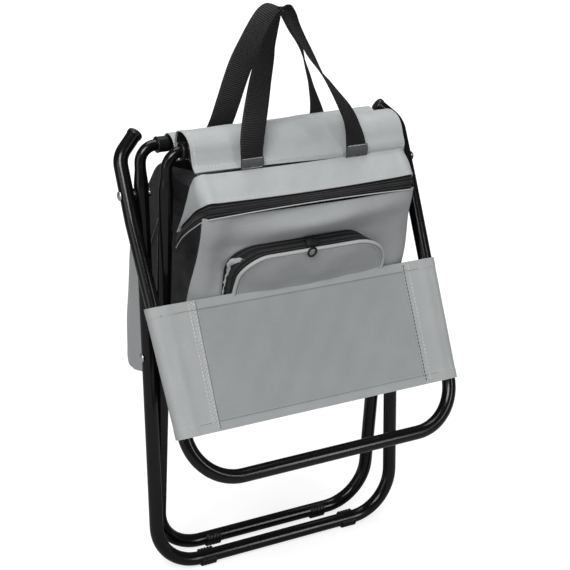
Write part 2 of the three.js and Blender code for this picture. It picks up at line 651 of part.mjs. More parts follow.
// The zipped cover above the front panel turns round both corners and runs back and down along the sides.
// The zip tape follows its lower edge. Stations are [x, y, z] on the left, mirrored on the right.
const coverUpper = [[-128.6, -22, 158], [-128.8, -36, 188], [-128.6, -53, 219], [-122, -55.6, 221.4]];
const coverLower = [[-129.4, -15, 146.5], [-130.4, -46, 166], [-130.2, -75, 186.5], [-121, -84.2, 193.6]];
const zipLower = [[-129.4, -12, 136], [-130.4, -43, 155.4], [-129.8, -72, 175.4], [-121, -82.6, 182.4]];

function wrapped(upper, lower, thickness) {
  const whole = (line) => [...line, ...line.map(([x, y, z]) => [-x, y, z]).reverse()].map((p) => V(...p));
  const [top, bottom] = [whole(upper), whole(lower)];
  const middle = top.map((p, i) => p.clone().lerp(bottom[i], 0.5));
  const inwards = middle.map((p, i) => {
    const along = middle[Math.min(i + 1, middle.length - 1)].clone().sub(middle[Math.max(i - 1, 0)]);
    const down = bottom[i].clone().sub(top[i]);
    return along.cross(down).normalize();
  });
  const centre = V(0, 20, 150);
  const faces = [0, thickness].map((depth) => [top, middle, bottom].map((line) =>
    line.map((p, i) => {
      const way = inwards[i].dot(centre.clone().sub(p)) < 0 ? -1 : 1;
      return p.clone().addScaledVector(inwards[i], way * depth);
    })));
  return sheet(faces[0], faces[1]);
}
const lowered = (line, drop) => line.map(([x, y, z]) => [x, y, z - drop]);
add(model, 'bag_cover', wrapped(coverUpper, coverLower, CLOTH), greyCloth);
add(model, 'main_zip_tape', wrapped(lowered(coverLower, 2), zipLower, CLOTH), zipTape);

// Front pocket: an arched face with piping on its edge, held off the bag by its zip tape. A point of the
// pocket is [x, height] with its distance from the front panel.
const POCKET_TOP = 129;
const POCKET_BOTTOM = 73;
const POCKET_CORNER = 36;
const POCKET_EDGE_DEPTH = 2;

const onPocket = (x, z, out) =>
  V(POCKET_CENTRE_X + x, depthAt(bagFrontLine, z) - PADDED / 2 - out, z);

// The pocket's depth falls towards its lower edge, which the backrest band presses flat
const pocketDepth = (z) =>
  THREE.MathUtils.mapLinear(z, POCKET_BOTTOM, POCKET_TOP, POCKET_EDGE_DEPTH, POCKET_DEPTH);

function archPoints(inset) {
  const half = POCKET_HALF_WIDTH - inset;
  const corner = POCKET_CORNER - inset;
  const top = POCKET_TOP - inset;
  const points = [[-half, POCKET_BOTTOM]];
  for (const sign of [-1, 1]) {
    for (let k = 0; k <= 5; k += 1) {
      const angle = (Math.PI / 2) * (sign < 0 ? k / 5 : 1 - k / 5);
      points.push([sign * (half - corner + corner * Math.cos(angle)), top - corner + corner * Math.sin(angle)]);
    }
  }
  points.push([half, POCKET_BOTTOM]);
  return points;
}

function pocketFace() {
  const rim = archPoints(3.4);
  const middle = rim.length / 2;
  const left = rim.slice(0, middle);
  const right = rim.slice(middle).reverse();
  const face = (offset) => [left, right].map((line) =>
    line.map(([x, z]) => onPocket(x, z, pocketDepth(z) + offset)));
  return sheet(face(CLOTH / 2), face(-CLOTH / 2));
}

// A band that stands on the arch, from one distance off the panel to another
function archBand(inset, thickness, near, far) {
  const face = (line) => [near, far].map((distance) => line.map(([x, z]) => onPocket(x, z, distance(z))));
  return sheet(face(archPoints(inset)), face(archPoints(inset + thickness)));
}

add(model, 'pocket_face', pocketFace(), greyCloth);
const pipingBand = archBand(0.4, 2.4, (z) => pocketDepth(z) - 1.2, (z) => pocketDepth(z) + 1);
add(model, 'pocket_piping', pipingBand, pipingCloth);
add(model, 'pocket_zip_tape', archBand(0.2, 2, () => 0.4, (z) => pocketDepth(z) - 1.6), zipTape);

// Zip sliders: a small tapered body astride the teeth and a pull that hangs from it
function sliderBody(width, length, thickness) {
  const shape = new THREE.Shape();
  shape.moveTo(-width / 2, 0);
  shape.quadraticCurveTo(-width / 2, length * 0.75, 0, length);
  shape.quadraticCurveTo(width / 2, length * 0.75, width / 2, 0);
  shape.closePath();
  return weld(new THREE.ExtrudeGeometry(shape, { depth: thickness, bevelEnabled: false, curveSegments: 4 }));
}

const POCKET_SLIDER_X = -14;
const pocketSlider = sliderBody(7, 8, 2.2);
pocketSlider.rotateX(Math.PI / 2);
pocketSlider.rotateY(-Math.PI / 2);
pocketSlider.rotateX(Math.PI / 2);
const pocketSliderAt = onPocket(POCKET_SLIDER_X, POCKET_TOP, pocketDepth(POCKET_TOP) / 2);
pocketSlider.translate(pocketSliderAt.x, pocketSliderAt.y, pocketSliderAt.z + 2.6);
add(model, 'pocket_zip_slider', pocketSlider, blackPlastic);
const ring = new THREE.TorusGeometry(3.6, 0.7, 6, 14);
ring.rotateX(Math.PI / 2 - 0.5);
const ringAt = onPocket(POCKET_SLIDER_X, POCKET_TOP - 7, pocketDepth(POCKET_TOP) + 4.4);
ring.translate(ringAt.x, ringAt.y, ringAt.z);
add(model, 'pocket_zip_ring', weld(ring), blackPlastic);

const mainSlider = sliderBody(7, 9, 2.2);
mainSlider.rotateY(Math.PI / 2);
mainSlider.translate(131.2, -30, 152);
add(model, 'main_zip_slider', mainSlider, blackPlastic);
const pull = weld(new THREE.BoxGeometry(1.4, 5, 15));
pull.translate(134.4, -27, 142);
add(model, 'main_zip_pull', pull, blackPlastic);

export default model;
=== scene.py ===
"""Folding cooler stool, folded for carrying: its looks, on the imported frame.

Shapes are worked out in millimetres from the pivot of the legs: x to the right seen from the front, y to the
back, z up. place() turns them into metres in the part's frame.
"""

import math

import bpy
import numpy as np
from mathutils import Matrix


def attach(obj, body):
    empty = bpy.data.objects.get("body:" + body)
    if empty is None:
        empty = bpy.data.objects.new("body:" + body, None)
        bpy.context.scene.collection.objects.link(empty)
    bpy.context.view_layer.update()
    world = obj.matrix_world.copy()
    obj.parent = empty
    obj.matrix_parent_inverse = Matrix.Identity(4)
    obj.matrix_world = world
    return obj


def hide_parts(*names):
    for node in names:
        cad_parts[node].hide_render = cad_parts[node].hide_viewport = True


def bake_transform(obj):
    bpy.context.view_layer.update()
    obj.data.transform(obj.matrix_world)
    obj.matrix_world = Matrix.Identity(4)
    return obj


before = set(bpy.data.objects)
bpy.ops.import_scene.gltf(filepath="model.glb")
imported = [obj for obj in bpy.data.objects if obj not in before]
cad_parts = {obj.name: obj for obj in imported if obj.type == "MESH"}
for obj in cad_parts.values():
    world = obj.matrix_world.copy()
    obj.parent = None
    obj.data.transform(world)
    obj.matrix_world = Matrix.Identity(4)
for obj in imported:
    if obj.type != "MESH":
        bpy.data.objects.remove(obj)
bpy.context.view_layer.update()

# Driving dimensions of the steel frames
PIVOT = np.array([0.0, -1.68, 276.45])
TUBE, NECK, GAP = 8.0, 6.25, 0.3
OUTER_X, INNER_X, BACK_X = 160.4, 143.4, 177.4
LEG_DOWN, LEG_UP = 267.0, 239.0
SEAT_BEND, FLOOR_BEND, NECK_INSERT, NECK_TAPER = 18.0, 55.0, 30.0, 22.0
LEG_LEAN, BACK_LEAN = math.radians(4), math.radians(27)
BACK_RIVET, BACK_LENGTH, BACK_STRAIGHT = 188.0, 320.0, 30.0
CLOSING_LEFT, CLOSING_RIGHT = 13.8, 4.1
HOOK_STRAIGHT, HOOK_BENT, HOOK_BEND = 42.0, 31.0, 25.0
RIVET_HEAD, RIVET_SHANK, DOME_HEIGHT = 5.2, 3.0, 1.9
PAD_RIB, PAD_WAIST, PAD_BORE, PAD_LENGTH, PAD_FLAT = 10.5, 9.2, 8.22, 19.5, 10.08
OUTER_PAD_X, INNER_PAD_X = 97, 73
OPEN_TURN = math.radians(34)
BACK_PIVOT = (0.0, BACK_RIVET * math.sin(LEG_LEAN), BACK_RIVET * math.cos(LEG_LEAN))

ROOT, OUTER, INNER, BACK = "pivot_and_bag", "outer_frame", "inner_frame", "backrest"
SIDES = (("left", -1), ("right", 1))


# Points and lines

def place(points):
    """Millimetres from the legs' pivot to metres in the part's frame."""
    return (np.asarray(points, float).reshape(-1, 3) + PIVOT) * 0.001


def unit(vectors):
    """Each vector divided by its own length."""
    return vectors / np.maximum(np.linalg.norm(vectors, axis=-1, keepdims=True), 1e-12)


def travelled(points):
    """Distance along a line of points, from its start to each of them."""
    return np.concatenate([[0.0], np.cumsum(np.linalg.norm(np.diff(points, axis=0), axis=1))])


def smooth_line(stations, count):
    """A curve through stations at even steps of the chord length: cubic Hermite pieces whose slopes are the
    mean slopes of the chords on either side."""
    stations = np.asarray(stations, float)
    at = travelled(stations)
    slope = np.gradient(stations, at, axis=0)
    want = np.linspace(0, at[-1], count)
    i = np.clip(np.searchsorted(at, want, side="right") - 1, 0, len(at) - 2)
    step = (at[i + 1] - at[i])[:, None]
    x = ((want - at[i]) / step[:, 0])[:, None]
    return ((2 * x**3 - 3 * x**2 + 1) * stations[i] + (x**3 - 2 * x**2 + x) * step * slope[i]
            + (3 * x**2 - 2 * x**3) * stations[i + 1] + (x**3 - x**2) * step * slope[i + 1])


def read_off(want, at, rows):
    """Rows that are known at some places, read off at other places by straight lines between them."""
    return np.stack([np.interp(want, at, rows[:, k]) for k in range(rows.shape[1])], -1)


def even_line(points, spacing):
    """The same broken line, with points every spacing along it."""
    points = np.asarray(points, float)
    at = travelled(points)
    return read_off(np.linspace(0, at[-1], max(int(at[-1] / spacing), 2) + 1), at, points)


def rounded_path(corners, radii, steps=16):
    """A line through corners, each cut off by an arc of its own radius: the arc's centre lies on the
    bisector, at radius / cos(half the turn) from the corner."""
    corners = np.asarray(corners, float)
    path = [corners[:1]]
    for corner, radius, before, after in zip(corners[1:-1], radii, corners[:-2], corners[2:]):
        a, b = unit(before - corner), unit(after - corner)
        turn = math.pi - math.acos(np.clip(a @ b, -1, 1))
        centre = corner + unit(a + b) * radius / math.cos(turn / 2)
        arm = corner + a * radius * math.tan(turn / 2) - centre
        other = unit(corner + b * radius * math.tan(turn / 2) - centre - arm * math.cos(turn)) * radius
        angle = np.linspace(0, turn, steps + 1)[:, None]
        path.append(centre + arm * np.cos(angle) + other * np.sin(angle))
    return np.vstack(path + [corners[-1:]])


def leaning(points, angle, about=(0, 0, 0)):
    """Points turned about the X direction, y' = y cos a - z sin a and z' = y sin a + z cos a, then moved to
    about."""
    x, y, z = np.moveaxis(np.asarray(points, float), -1, 0)
    c, s = math.cos(angle), math.sin(angle)
    return np.stack([x, y * c - z * s, y * s + z * c], -1) + np.asarray(about, float)


def ease(x):
    """0 below 0, 1 above 1, and 3x² - 2x³ in between."""
    x = np.clip(x, 0, 1)
    return x * x * (3 - 2 * x)


def bump(x, centre, width):
    """A bell of height 1: exp(-((x - centre) / width)²)."""
    return np.exp(-(((x - centre) / width) ** 2))


def crumple(a, b, seed, pitch):
    """Soft irregular waves between about -1 and 1: the mean of seven sines in seeded directions."""
    rng = np.random.default_rng(seed)
    total = np.zeros(np.broadcast(a, b).shape)
    for way, size, phase in zip(rng.uniform(0, np.pi, 7), rng.uniform(0.6, 1.9, 7), rng.uniform(0, 6.3, 7)):
        total = total + np.sin((a * np.cos(way) + b * np.sin(way)) * 2 * np.pi / (pitch * size) + phase)
    return total / 3.2


# Meshes

def grid_faces(rows, columns, ring=False):
    """Four-cornered faces between neighbours of a grid numbered row by row; ring joins the last column to
    the first."""
    i, j = np.meshgrid(np.arange(rows - 1), np.arange(columns if ring else columns - 1), indexing="ij")
    k = (j + 1) % columns
    low, high = i * columns, (i + 1) * columns
    return np.stack([low + j, low + k, high + k, high + j], -1).reshape(-1, 4)


def build(name, points, quads, triangles, material, uv=None, sharp=38):
    """A mesh object at the origin from points in millimetres. Faces are turned to point out by the sign of
    the volume, the sum of a · (b × c) over the faces' corners."""
    co = place(points)
    quads = np.asarray(quads, int).reshape(-1, 4)
    triangles = np.asarray(triangles, int).reshape(-1, 3)
    corners = np.vstack([quads[:, [0, 1, 2]], quads[:, [0, 2, 3]], triangles])
    a, b, c = co[corners[:, 0]], co[corners[:, 1]], co[corners[:, 2]]
    if np.einsum("ij,ij->i", a, np.cross(b, c)).sum() < 0:
        quads, triangles = quads[:, ::-1], triangles[:, ::-1]
    loops = np.concatenate([quads.ravel(), triangles.ravel()]).astype(np.int32)
    starts = np.concatenate([np.arange(len(quads)) * 4, len(quads) * 4 + np.arange(len(triangles)) * 3])
    mesh = bpy.data.meshes.new(name)
    mesh.vertices.add(len(co))
    mesh.vertices.foreach_set("co", co.astype(np.float32).ravel())
    mesh.loops.add(len(loops))
    mesh.loops.foreach_set("vertex_index", loops)
    mesh.polygons.add(len(starts))
    mesh.polygons.foreach_set("loop_start", starts.astype(np.int32))
    if uv is not None:
        layer = mesh.uv_layers.new(name="cloth")
        layer.data.foreach_set("uv", np.asarray(uv, np.float32)[loops].ravel())
    mesh.update(calc_edges=True)
    mesh.validate()
    mesh.shade_smooth()
    mesh.set_sharp_from_angle(angle=math.radians(sharp))
    obj = bpy.data.objects.new(name, mesh)
    bpy.context.collection.objects.link(obj)
    obj.data.materials.append(material)
    return obj


def surface_normals(grid):
    """Cross product of the steps along the columns and along the rows of a grid."""
    return unit(np.cross(np.gradient(grid, axis=1), np.gradient(grid, axis=0)))


CUTS = {}


def measure_cut(name, grid):
    """Keeps the size that a sheet was cut to, in metres: its longest row, its longest column and its area,
    the sum of half the cross products of its cells' diagonals."""
    across = np.linalg.norm(np.diff(grid, axis=1), axis=2).sum(axis=1).max()
    along = np.linalg.norm(np.diff(grid, axis=0), axis=2).sum(axis=0).max()
    cells = np.cross(grid[1:, 1:] - grid[:-1, :-1], grid[1:, :-1] - grid[:-1, 1:])
    area = np.linalg.norm(cells, axis=2).sum() / 2
    CUTS[name] = across * 1e-3, along * 1e-3, area * 1e-6


def cloth(name, grid, thickness, material):
    """A closed sheet about a grid of points: one face half the thickness to each side along the grid's
    normals, and a rim. Its map measures metres of cloth along the columns and the rows."""
    measure_cut(name, grid)
    rows, columns = grid.shape[:2]
    half = np.broadcast_to(np.asarray(thickness, float) / 2, (rows, columns))[..., None]
    normal = surface_normals(grid)
    front, back = grid + normal * half, grid - normal * half
    points = np.concatenate([front, back[:, ::-1]], axis=1)
    u = np.concatenate([[0], np.cumsum(np.linalg.norm(np.diff(grid, axis=1), axis=2).mean(axis=0))]) * 0.001
    v = np.concatenate([[0], np.cumsum(np.linalg.norm(np.diff(grid, axis=0), axis=2).mean(axis=1))]) * 0.001
    across, along = np.meshgrid(np.concatenate([u, u[::-1]]), v)
    uv = np.stack([across, along], -1).reshape(-1, 2)
    j = np.arange(columns - 1)
    end = (rows - 1) * 2 * columns
    lids = [np.stack([j, j + 1, 2 * columns - 2 - j, 2 * columns - 1 - j], -1) + start for start in (0, end)]
    quads = np.vstack([grid_faces(rows, 2 * columns, ring=True), lids[0][:, ::-1], lids[1]])
    return build(name, points.reshape(-1, 3), quads, [], material, uv)


def swept(path, profile, across):
    """Rings of a profile carried along a path. A profile point [a, b] lies a along the path's side
    direction, tangent × across, and b along across."""
    tangent = unit(np.gradient(path, axis=0))
    across = unit(np.broadcast_to(np.asarray(across, float), path.shape))
    side = unit(np.cross(tangent, across))
    up = unit(np.cross(side, tangent))
    if profile.ndim == 2:
        profile = np.broadcast_to(profile, (len(path),) + profile.shape)
    return path[:, None] + profile[..., :1] * side[:, None] + profile[..., 1:] * up[:, None]


def closed_folded_sweep(name, rings, material):
    """A closed mesh from rings that fold back on themselves, such as a C, with a ladder of faces at both
    ends."""
    count, sides = rings.shape[:2]
    k = np.arange(sides // 2 - 1)
    lid = np.stack([k, k + 1, sides - 2 - k, sides - 1 - k], -1)
    quads = np.vstack([grid_faces(count, sides, ring=True), lid[:, ::-1], lid + (count - 1) * sides])
    return build(name, rings.reshape(-1, 3), quads, [], material)


def closed_sweep(name, rings, material, uv=None):
    """A closed mesh from rings of points, with a fan of triangles at each end round the ring's middle."""
    count, sides = rings.shape[:2]
    points = np.vstack([rings.reshape(-1, 3), rings[0].mean(axis=0), rings[-1].mean(axis=0)])
    k = np.arange(sides)
    first = np.stack([np.full(sides, count * sides), (k + 1) % sides, k], -1)
    last = np.stack([np.full(sides, count * sides + 1), k, (k + 1) % sides], -1)
    last[:, 1:] += (count - 1) * sides
    if uv is None:
        girth = travelled(np.vstack([rings[count // 2], rings[count // 2][:1]]))[:-1] * 0.001
        length = travelled(rings.mean(axis=1)) * 0.001
        grid = np.stack(np.meshgrid(girth, length), -1).reshape(-1, 2)
        uv = np.vstack([grid, grid[:1], grid[-1:]])
    return build(name, points, grid_faces(count, sides, ring=True), np.vstack([first, last]), material, uv)


def circle(radius, sides):
    """Points round a circle, radius · [cos, sin], one ring for each radius given."""
    angle = 2 * np.pi * (np.arange(sides) + 0.5) / sides
    return np.asarray(radius, float)[..., None, None] * np.stack([np.cos(angle), np.sin(angle)], -1)


def tube(name, path, radii, material, sides=28, across=(0, 1, 0)):
    """A round bar along a path, with a radius for each point of it."""
    rings = circle(np.broadcast_to(radii, len(path)), sides)
    return closed_sweep(name, swept(path, rings, across), material)


def turned(name, outline, start, axis, material, sides=36):
    """A turned solid: an outline of [distance, radius] along an axis from start, closed at both ends."""
    outline = np.asarray(outline, float)
    axis = unit(np.asarray(axis, float))
    side = unit(np.cross(axis, [0.0, 0.3, 1.0]))
    up = np.cross(axis, side)
    angle = 2 * np.pi * np.arange(sides) / sides
    around = np.cos(angle)[:, None] * side + np.sin(angle)[:, None] * up
    rings = np.asarray(start, float) + outline[:, :1, None] * axis + outline[:, 1:, None] * around
    return closed_sweep(name, rings, material)


def joined(name, parts, material):
    """One object from several, for rows of small equal things."""
    points, quads, base = [], [], 0
    for rings in parts:
        count, sides = rings.shape[-3:-1]
        flat = rings.reshape(-1, count * sides, 3)
        face = grid_faces(count, sides, ring=True)
        first = base + (np.arange(len(flat)) * count * sides)[:, None, None]
        quads.append((face[None] + first).reshape(-1, 4))
        points.append(flat.reshape(-1, 3))
        base += flat.shape[0] * flat.shape[1]
    points = np.vstack(points)
    return build(name, points, np.vstack(quads), [], material, points[:, :2] * 0.001)


def beads(path, out, pitch, length, width, height, sides=6, turn=0.0):
    """Rounded grains in a row along a path: each is a ring shape whose girth swells as a half circle from
    end to end, width across and height along out. turn slants each grain about out, in radians."""
    at = travelled(path)
    centre = np.arange(pitch * 0.6, at[-1] - pitch * 0.4, pitch)
    mid = read_off(centre, at, path)
    up = unit(read_off(centre, at, np.broadcast_to(np.asarray(out, float), path.shape)))
    run = unit(read_off(centre, at, np.gradient(path, axis=0)))
    side = unit(np.cross(run, up))
    run, side = run * math.cos(turn) + side * math.sin(turn), side * math.cos(turn) - run * math.sin(turn)
    station = np.array([-0.5, -0.36, 0.0, 0.36, 0.5])
    swell = np.array([0.02, 0.75, 1.0, 0.75, 0.02])
    angle = 2 * np.pi * np.arange(sides) / sides
    girth = np.stack([np.cos(angle) * width / 2, np.sin(angle) * height / 2], -1)
    return (mid[:, None, None] + run[:, None, None] * (station * length)[None, :, None, None]
            + side[:, None, None] * (swell[:, None] * girth[:, 0])[None, ..., None]
            + up[:, None, None] * (swell[:, None] * girth[:, 1])[None, ..., None])


# How pieces are held

def label(piece, node=None):
    """Hides the imported solids of the node that a piece stands for, if a node is given, and gives the piece
    back.
    """
    if node:
        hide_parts(node)
    return piece


def fasten(piece, body, node=None):
    """A piece that goes rigidly with one body."""
    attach(piece, body)
    return label(piece, node)


def blend(piece):
    """A cloth that crosses a joint: its place is baked into its mesh, and it is not attached to a body."""
    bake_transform(piece)


def blend_up(piece):
    """Cloth sewn to the seat's edge: baked as blend() does it, and given back."""
    blend(piece)
    return piece


def sew(name, lines, body, material, pitch=3.7, length=2.9, width=0.75, height=0.6):
    """Rows of stitches: a short thread at every pitch along each line. Without a body they are baked as
    blend_up() does it."""
    seam = joined(name, [beads(line, out, pitch, length, width, height) for line, out in lines], material)
    if body:
        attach(seam, body)
    else:
        blend_up(seam)


# Materials

# Millimetres from rib to rib of the webbing, for its finish and for its shape
RIB = 2.3


class Finish:
    """A material being put together: add() makes a node, sets its inputs and links those that are given as
    sockets. The other calls make one kind of node each and give its output."""

    def __init__(self, name):
        self.material = bpy.data.materials.new(name)
        self.material.use_nodes = True
        self.tree = self.material.node_tree
        self.tree.nodes.clear()

    def add(self, kind, inputs=None, **settings):
        node = self.tree.nodes.new(kind)
        for key, value in settings.items():
            setattr(node, key, value)
        for key, value in (inputs or {}).items():
            if isinstance(value, bpy.types.NodeSocket):
                self.tree.links.new(value, node.inputs[key])
            else:
                node.inputs[key].default_value = value
        return node

    def sum(self, operation, a, b=None, c=None):
        values = {k: v for k, v in enumerate((a, b, c)) if v is not None}
        return self.add("ShaderNodeMath", values, operation=operation).outputs[0]

    def at(self):
        return self.add("ShaderNodeTexCoord").outputs["Object"]

    def cloth_map(self):
        """The cloth's own map and its two numbers, metres along the columns and along the rows."""
        uv = self.add("ShaderNodeUVMap", uv_map="cloth").outputs[0]
        return uv, *self.add("ShaderNodeSeparateXYZ", {0: uv}).outputs[:2]

    def scaled(self, vector, scale):
        return self.add("ShaderNodeMapping", {"Vector": vector, "Scale": scale}).outputs[0]

    def wave(self, metres, pitch):
        """A sine whose period is pitch millimetres."""
        return self.sum("SINE", self.sum("MULTIPLY", metres, 2000 * math.pi / pitch))

    def noise(self, vector, scale, detail=3.0, rough=0.55):
        return self.add("ShaderNodeTexNoise", {"Vector": vector, "Scale": scale, "Detail": detail,
                                               "Roughness": rough}).outputs["Fac"]

    def range(self, value, a, b, low, high):
        return self.add("ShaderNodeMapRange", {"Value": value, "From Min": a, "From Max": b, "To Min": low,
                                               "To Max": high}).outputs["Result"]

    def shade(self, fac, dark, light):
        colours = {0: fac, 6: (*dark, 1), 7: (*light, 1)}
        return self.add("ShaderNodeMix", colours, data_type="RGBA").outputs[2]

    def raised(self, heights):
        """Bump nodes in a chain, one for each [height, distance in metres, strength]."""
        normal = None
        for height, distance, strength in heights:
            inputs = {"Height": height, "Distance": distance, "Strength": strength}
            if normal is not None:
                inputs["Normal"] = normal
            normal = self.add("ShaderNodeBump", inputs).outputs["Normal"]
        return normal

    def finish(self, **inputs):
        shader = self.add("ShaderNodeBsdfPrincipled", {k.replace("_", " "): v for k, v in inputs.items()})
        self.add("ShaderNodeOutputMaterial", {"Surface": shader.outputs[0]})
        return self.material


def tint(colour, share):
    """A colour made darker or paler by a share."""
    return tuple(c * share for c in colour)


def coated_cloth(name, colour, thread=0.62, sheen=0.12, rough=0.62, crease=0.35, hem=None):
    """Plain-woven coated polyester: a thread lattice from two sines on the cloth's own map, faint slubs and
    blotches in the colour, and soft creases. hem gives the length of a piece and the width of the folded hem
    at both its ends, in metres; the hems are painted 14 % paler, a painted highlight."""
    m = Finish(name)
    uv, across, along = m.cloth_map()
    at = m.at()
    lattice = m.sum("MULTIPLY", m.wave(across, thread), m.wave(along, thread))
    slub = m.noise(m.scaled(uv, (60, 1400, 1)), 1.0, 2.0)
    blotch = m.noise(at, 28.0, 4.0, 0.6)
    dimple = m.noise(at, 95.0, 4.0, 0.6)
    pucker = m.noise(m.scaled(at, (260, 420, 420)), 1.0, 3.0, 0.65)
    mottle = m.range(blotch, 0.3, 0.7, 0.0, 0.55)
    specks = m.sum("ADD", m.range(slub, 0.3, 0.7, 0.0, 0.25), m.range(pucker, 0.3, 0.7, 0.0, 0.25))
    colour_fac = m.sum("ADD", mottle, specks)
    normal = m.raised([(blotch, 0.004, crease * 0.5), (dimple, 0.0012, crease),
                       (pucker, 0.0004, crease * 0.9), (lattice, 0.00012, 0.35)])
    shade = m.shade(colour_fac, tint(colour, 0.93), tint(colour, 1.06))
    # Painted highlight: the folded hems are painted 14 % paler than the rest of the piece.
    if hem:
        length, width = hem
        from_middle = m.sum("ABSOLUTE", m.sum("SUBTRACT", along, length / 2))
        edge = m.sum("SUBTRACT", length / 2, from_middle)
        paler = m.range(edge, width, width + 0.0004, 1.14, 1.0)
        gain = m.add("ShaderNodeCombineXYZ", dict.fromkeys(range(3), paler)).outputs[0]
        pale = m.add("ShaderNodeMix", {0: 1.0, 6: shade, 7: gain}, data_type="RGBA", blend_type="MULTIPLY")
        shade = pale.outputs[2]
    dull = m.range(dimple, 0.3, 0.7, rough - 0.05, rough + 0.06)
    return m.finish(Base_Color=shade, Roughness=dull, Normal=normal, Sheen_Weight=sheen,
                    Sheen_Roughness=0.45, Specular_IOR_Level=0.4)


def powder_coat(name):
    """Gloss black powder coat: fine orange peel and faint scuffs on the tube."""
    m = Finish(name)
    at = m.at()
    peel = m.noise(at, 520.0, 2.0)
    scuff = m.noise(m.scaled(at, (90, 90, 14)), 1.0, 5.0, 0.7)
    paint = m.shade(m.range(scuff, 0.6, 0.85, 0, 1), (0.003, 0.003, 0.0033), (0.006, 0.006, 0.0064))
    return m.finish(Base_Color=paint, Roughness=m.range(scuff, 0.4, 0.8, 0.17, 0.22),
                    Normal=m.raised([(peel, 0.00001, 0.02)]), Specular_IOR_Level=0.36)


def moulded_plastic(name, colour=(0.005, 0.005, 0.0053), rough=0.34):
    """Moulded plastic: a fine spark-eroded grain and paler, duller worn spots."""
    m = Finish(name)
    at = m.at()
    grain = m.noise(at, 1500.0, 2.0)
    wear = m.noise(at, 70.0, 4.0)
    return m.finish(Base_Color=m.shade(m.range(wear, 0.35, 0.75, 0, 1), colour, tint(colour, 1.7)),
                    Roughness=m.range(wear, 0.3, 0.7, rough - 0.08, rough + 0.1),
                    Normal=m.raised([(grain, 0.0001, 0.4)]), Specular_IOR_Level=0.4)


def rivet_finish(name):
    """Zinc-plated steel: a fine grain and dull spots, both from noise."""
    m = Finish(name)
    at = m.at()
    fine = m.noise(at, 900.0, 3.0)
    spot = m.noise(at, 180.0, 4.0)
    return m.finish(Base_Color=m.shade(spot, (0.5, 0.5, 0.5), (0.78, 0.78, 0.79)), Metallic=1.0,
                    Roughness=m.range(spot, 0.3, 0.7, 0.22, 0.42), Normal=m.raised([(fine, 0.00006, 0.4)]))


def webbing_finish(name):
    """Ribbed polypropylene webbing: picks across it and cords along it, from sines on its own map, whose
    first number runs round the strap and whose second runs along it, and a little fuzz."""
    m = Finish(name)
    uv, around, along = m.cloth_map()
    picks, cords = m.wave(along, RIB), m.wave(around, 2.1)
    weave = m.sum("ADD", m.sum("MULTIPLY", picks, 0.8), m.sum("MULTIPLY", cords, 0.2))
    fuzz = m.noise(m.at(), 700.0, 3.0)
    # Painted highlight: the ribs' crests are painted paler; the fuzz adds random tone.
    fac = m.sum("ADD", m.range(weave, -0.6, 1, 0, 0.8), m.range(fuzz, 0.3, 0.7, 0, 0.2))
    return m.finish(Base_Color=m.shade(fac, (0.002, 0.002, 0.0023), (0.014, 0.014, 0.0147)), Roughness=0.5,
                    Normal=m.raised([(weave, 0.00025, 0.7), (fuzz, 0.0002, 0.25)]), Sheen_Weight=0.01,
                    Sheen_Roughness=0.4, Specular_IOR_Level=0.3)


def zip_cloth(name):
    """Black zip tape: a fine herringbone along the tape and lint on it."""
    m = Finish(name)
    uv, along, across = m.cloth_map()
    bone = m.wave(m.sum("ADD", along, m.sum("PINGPONG", across, 0.0015)), 0.9)
    lint = m.noise(m.at(), 420.0, 3.0)
    dye = m.shade(m.range(lint, 0.3, 0.75, 0, 1), (0.004, 0.004, 0.0045), (0.011, 0.011, 0.012))
    return m.finish(Base_Color=dye, Roughness=0.7,
                    Normal=m.raised([(bone, 0.00015, 0.5), (lint, 0.0003, 0.3)]), Sheen_Weight=0.02,
                    Specular_IOR_Level=0.25)


def foil_finish(name):
    """Aluminised film: bright, with many small crushed facets."""
    m = Finish(name)
    at = m.at()
    cells = m.add("ShaderNodeTexVoronoi", {"Vector": at, "Scale": 85.0}).outputs["Distance"]
    crush = m.noise(at, 40.0, 5.0, 0.7)
    return m.finish(Base_Color=m.shade(crush, (0.55, 0.56, 0.58), (0.74, 0.75, 0.77)), Metallic=0.85,
                    Roughness=m.range(crush, 0.3, 0.7, 0.22, 0.4),
                    Normal=m.raised([(cells, 0.001, 0.5), (crush, 0.003, 0.5)]))


GREY = (0.378, 0.392, 0.394)
grey_cloth = coated_cloth("grey_coated_cloth", GREY)
lid_cloth = coated_cloth("lid_coated_cloth", tint(GREY, 1.02), crease=0.3)
# The band's folded hems are painted 14 % paler, a painted highlight.
band_cloth = coated_cloth("band_centre_cloth", (0.3, 0.312, 0.318), crease=0.18, hem=(0.1435, 0.0104))
sleeve_cloth = coated_cloth("band_sleeve_cloth", (0.375, 0.386, 0.386), crease=0.18)
front_cloth = coated_cloth("padded_front_cloth", (0.356, 0.367, 0.373), crease=0.3)
charcoal = coated_cloth("charcoal_gusset_cloth", (0.019, 0.0192, 0.0208), sheen=0.1, rough=0.5, crease=0.6)
# Painted shade: the gussets' charcoal darkened to under half, worn by the shoulders and by the shade sheet
# in the front loop's mouth.
painted_shade_charcoal = coated_cloth("charcoal_painted_shade_cloth", (0.008, 0.0081, 0.0088), sheen=0.04, rough=0.55,
                              crease=0.5)
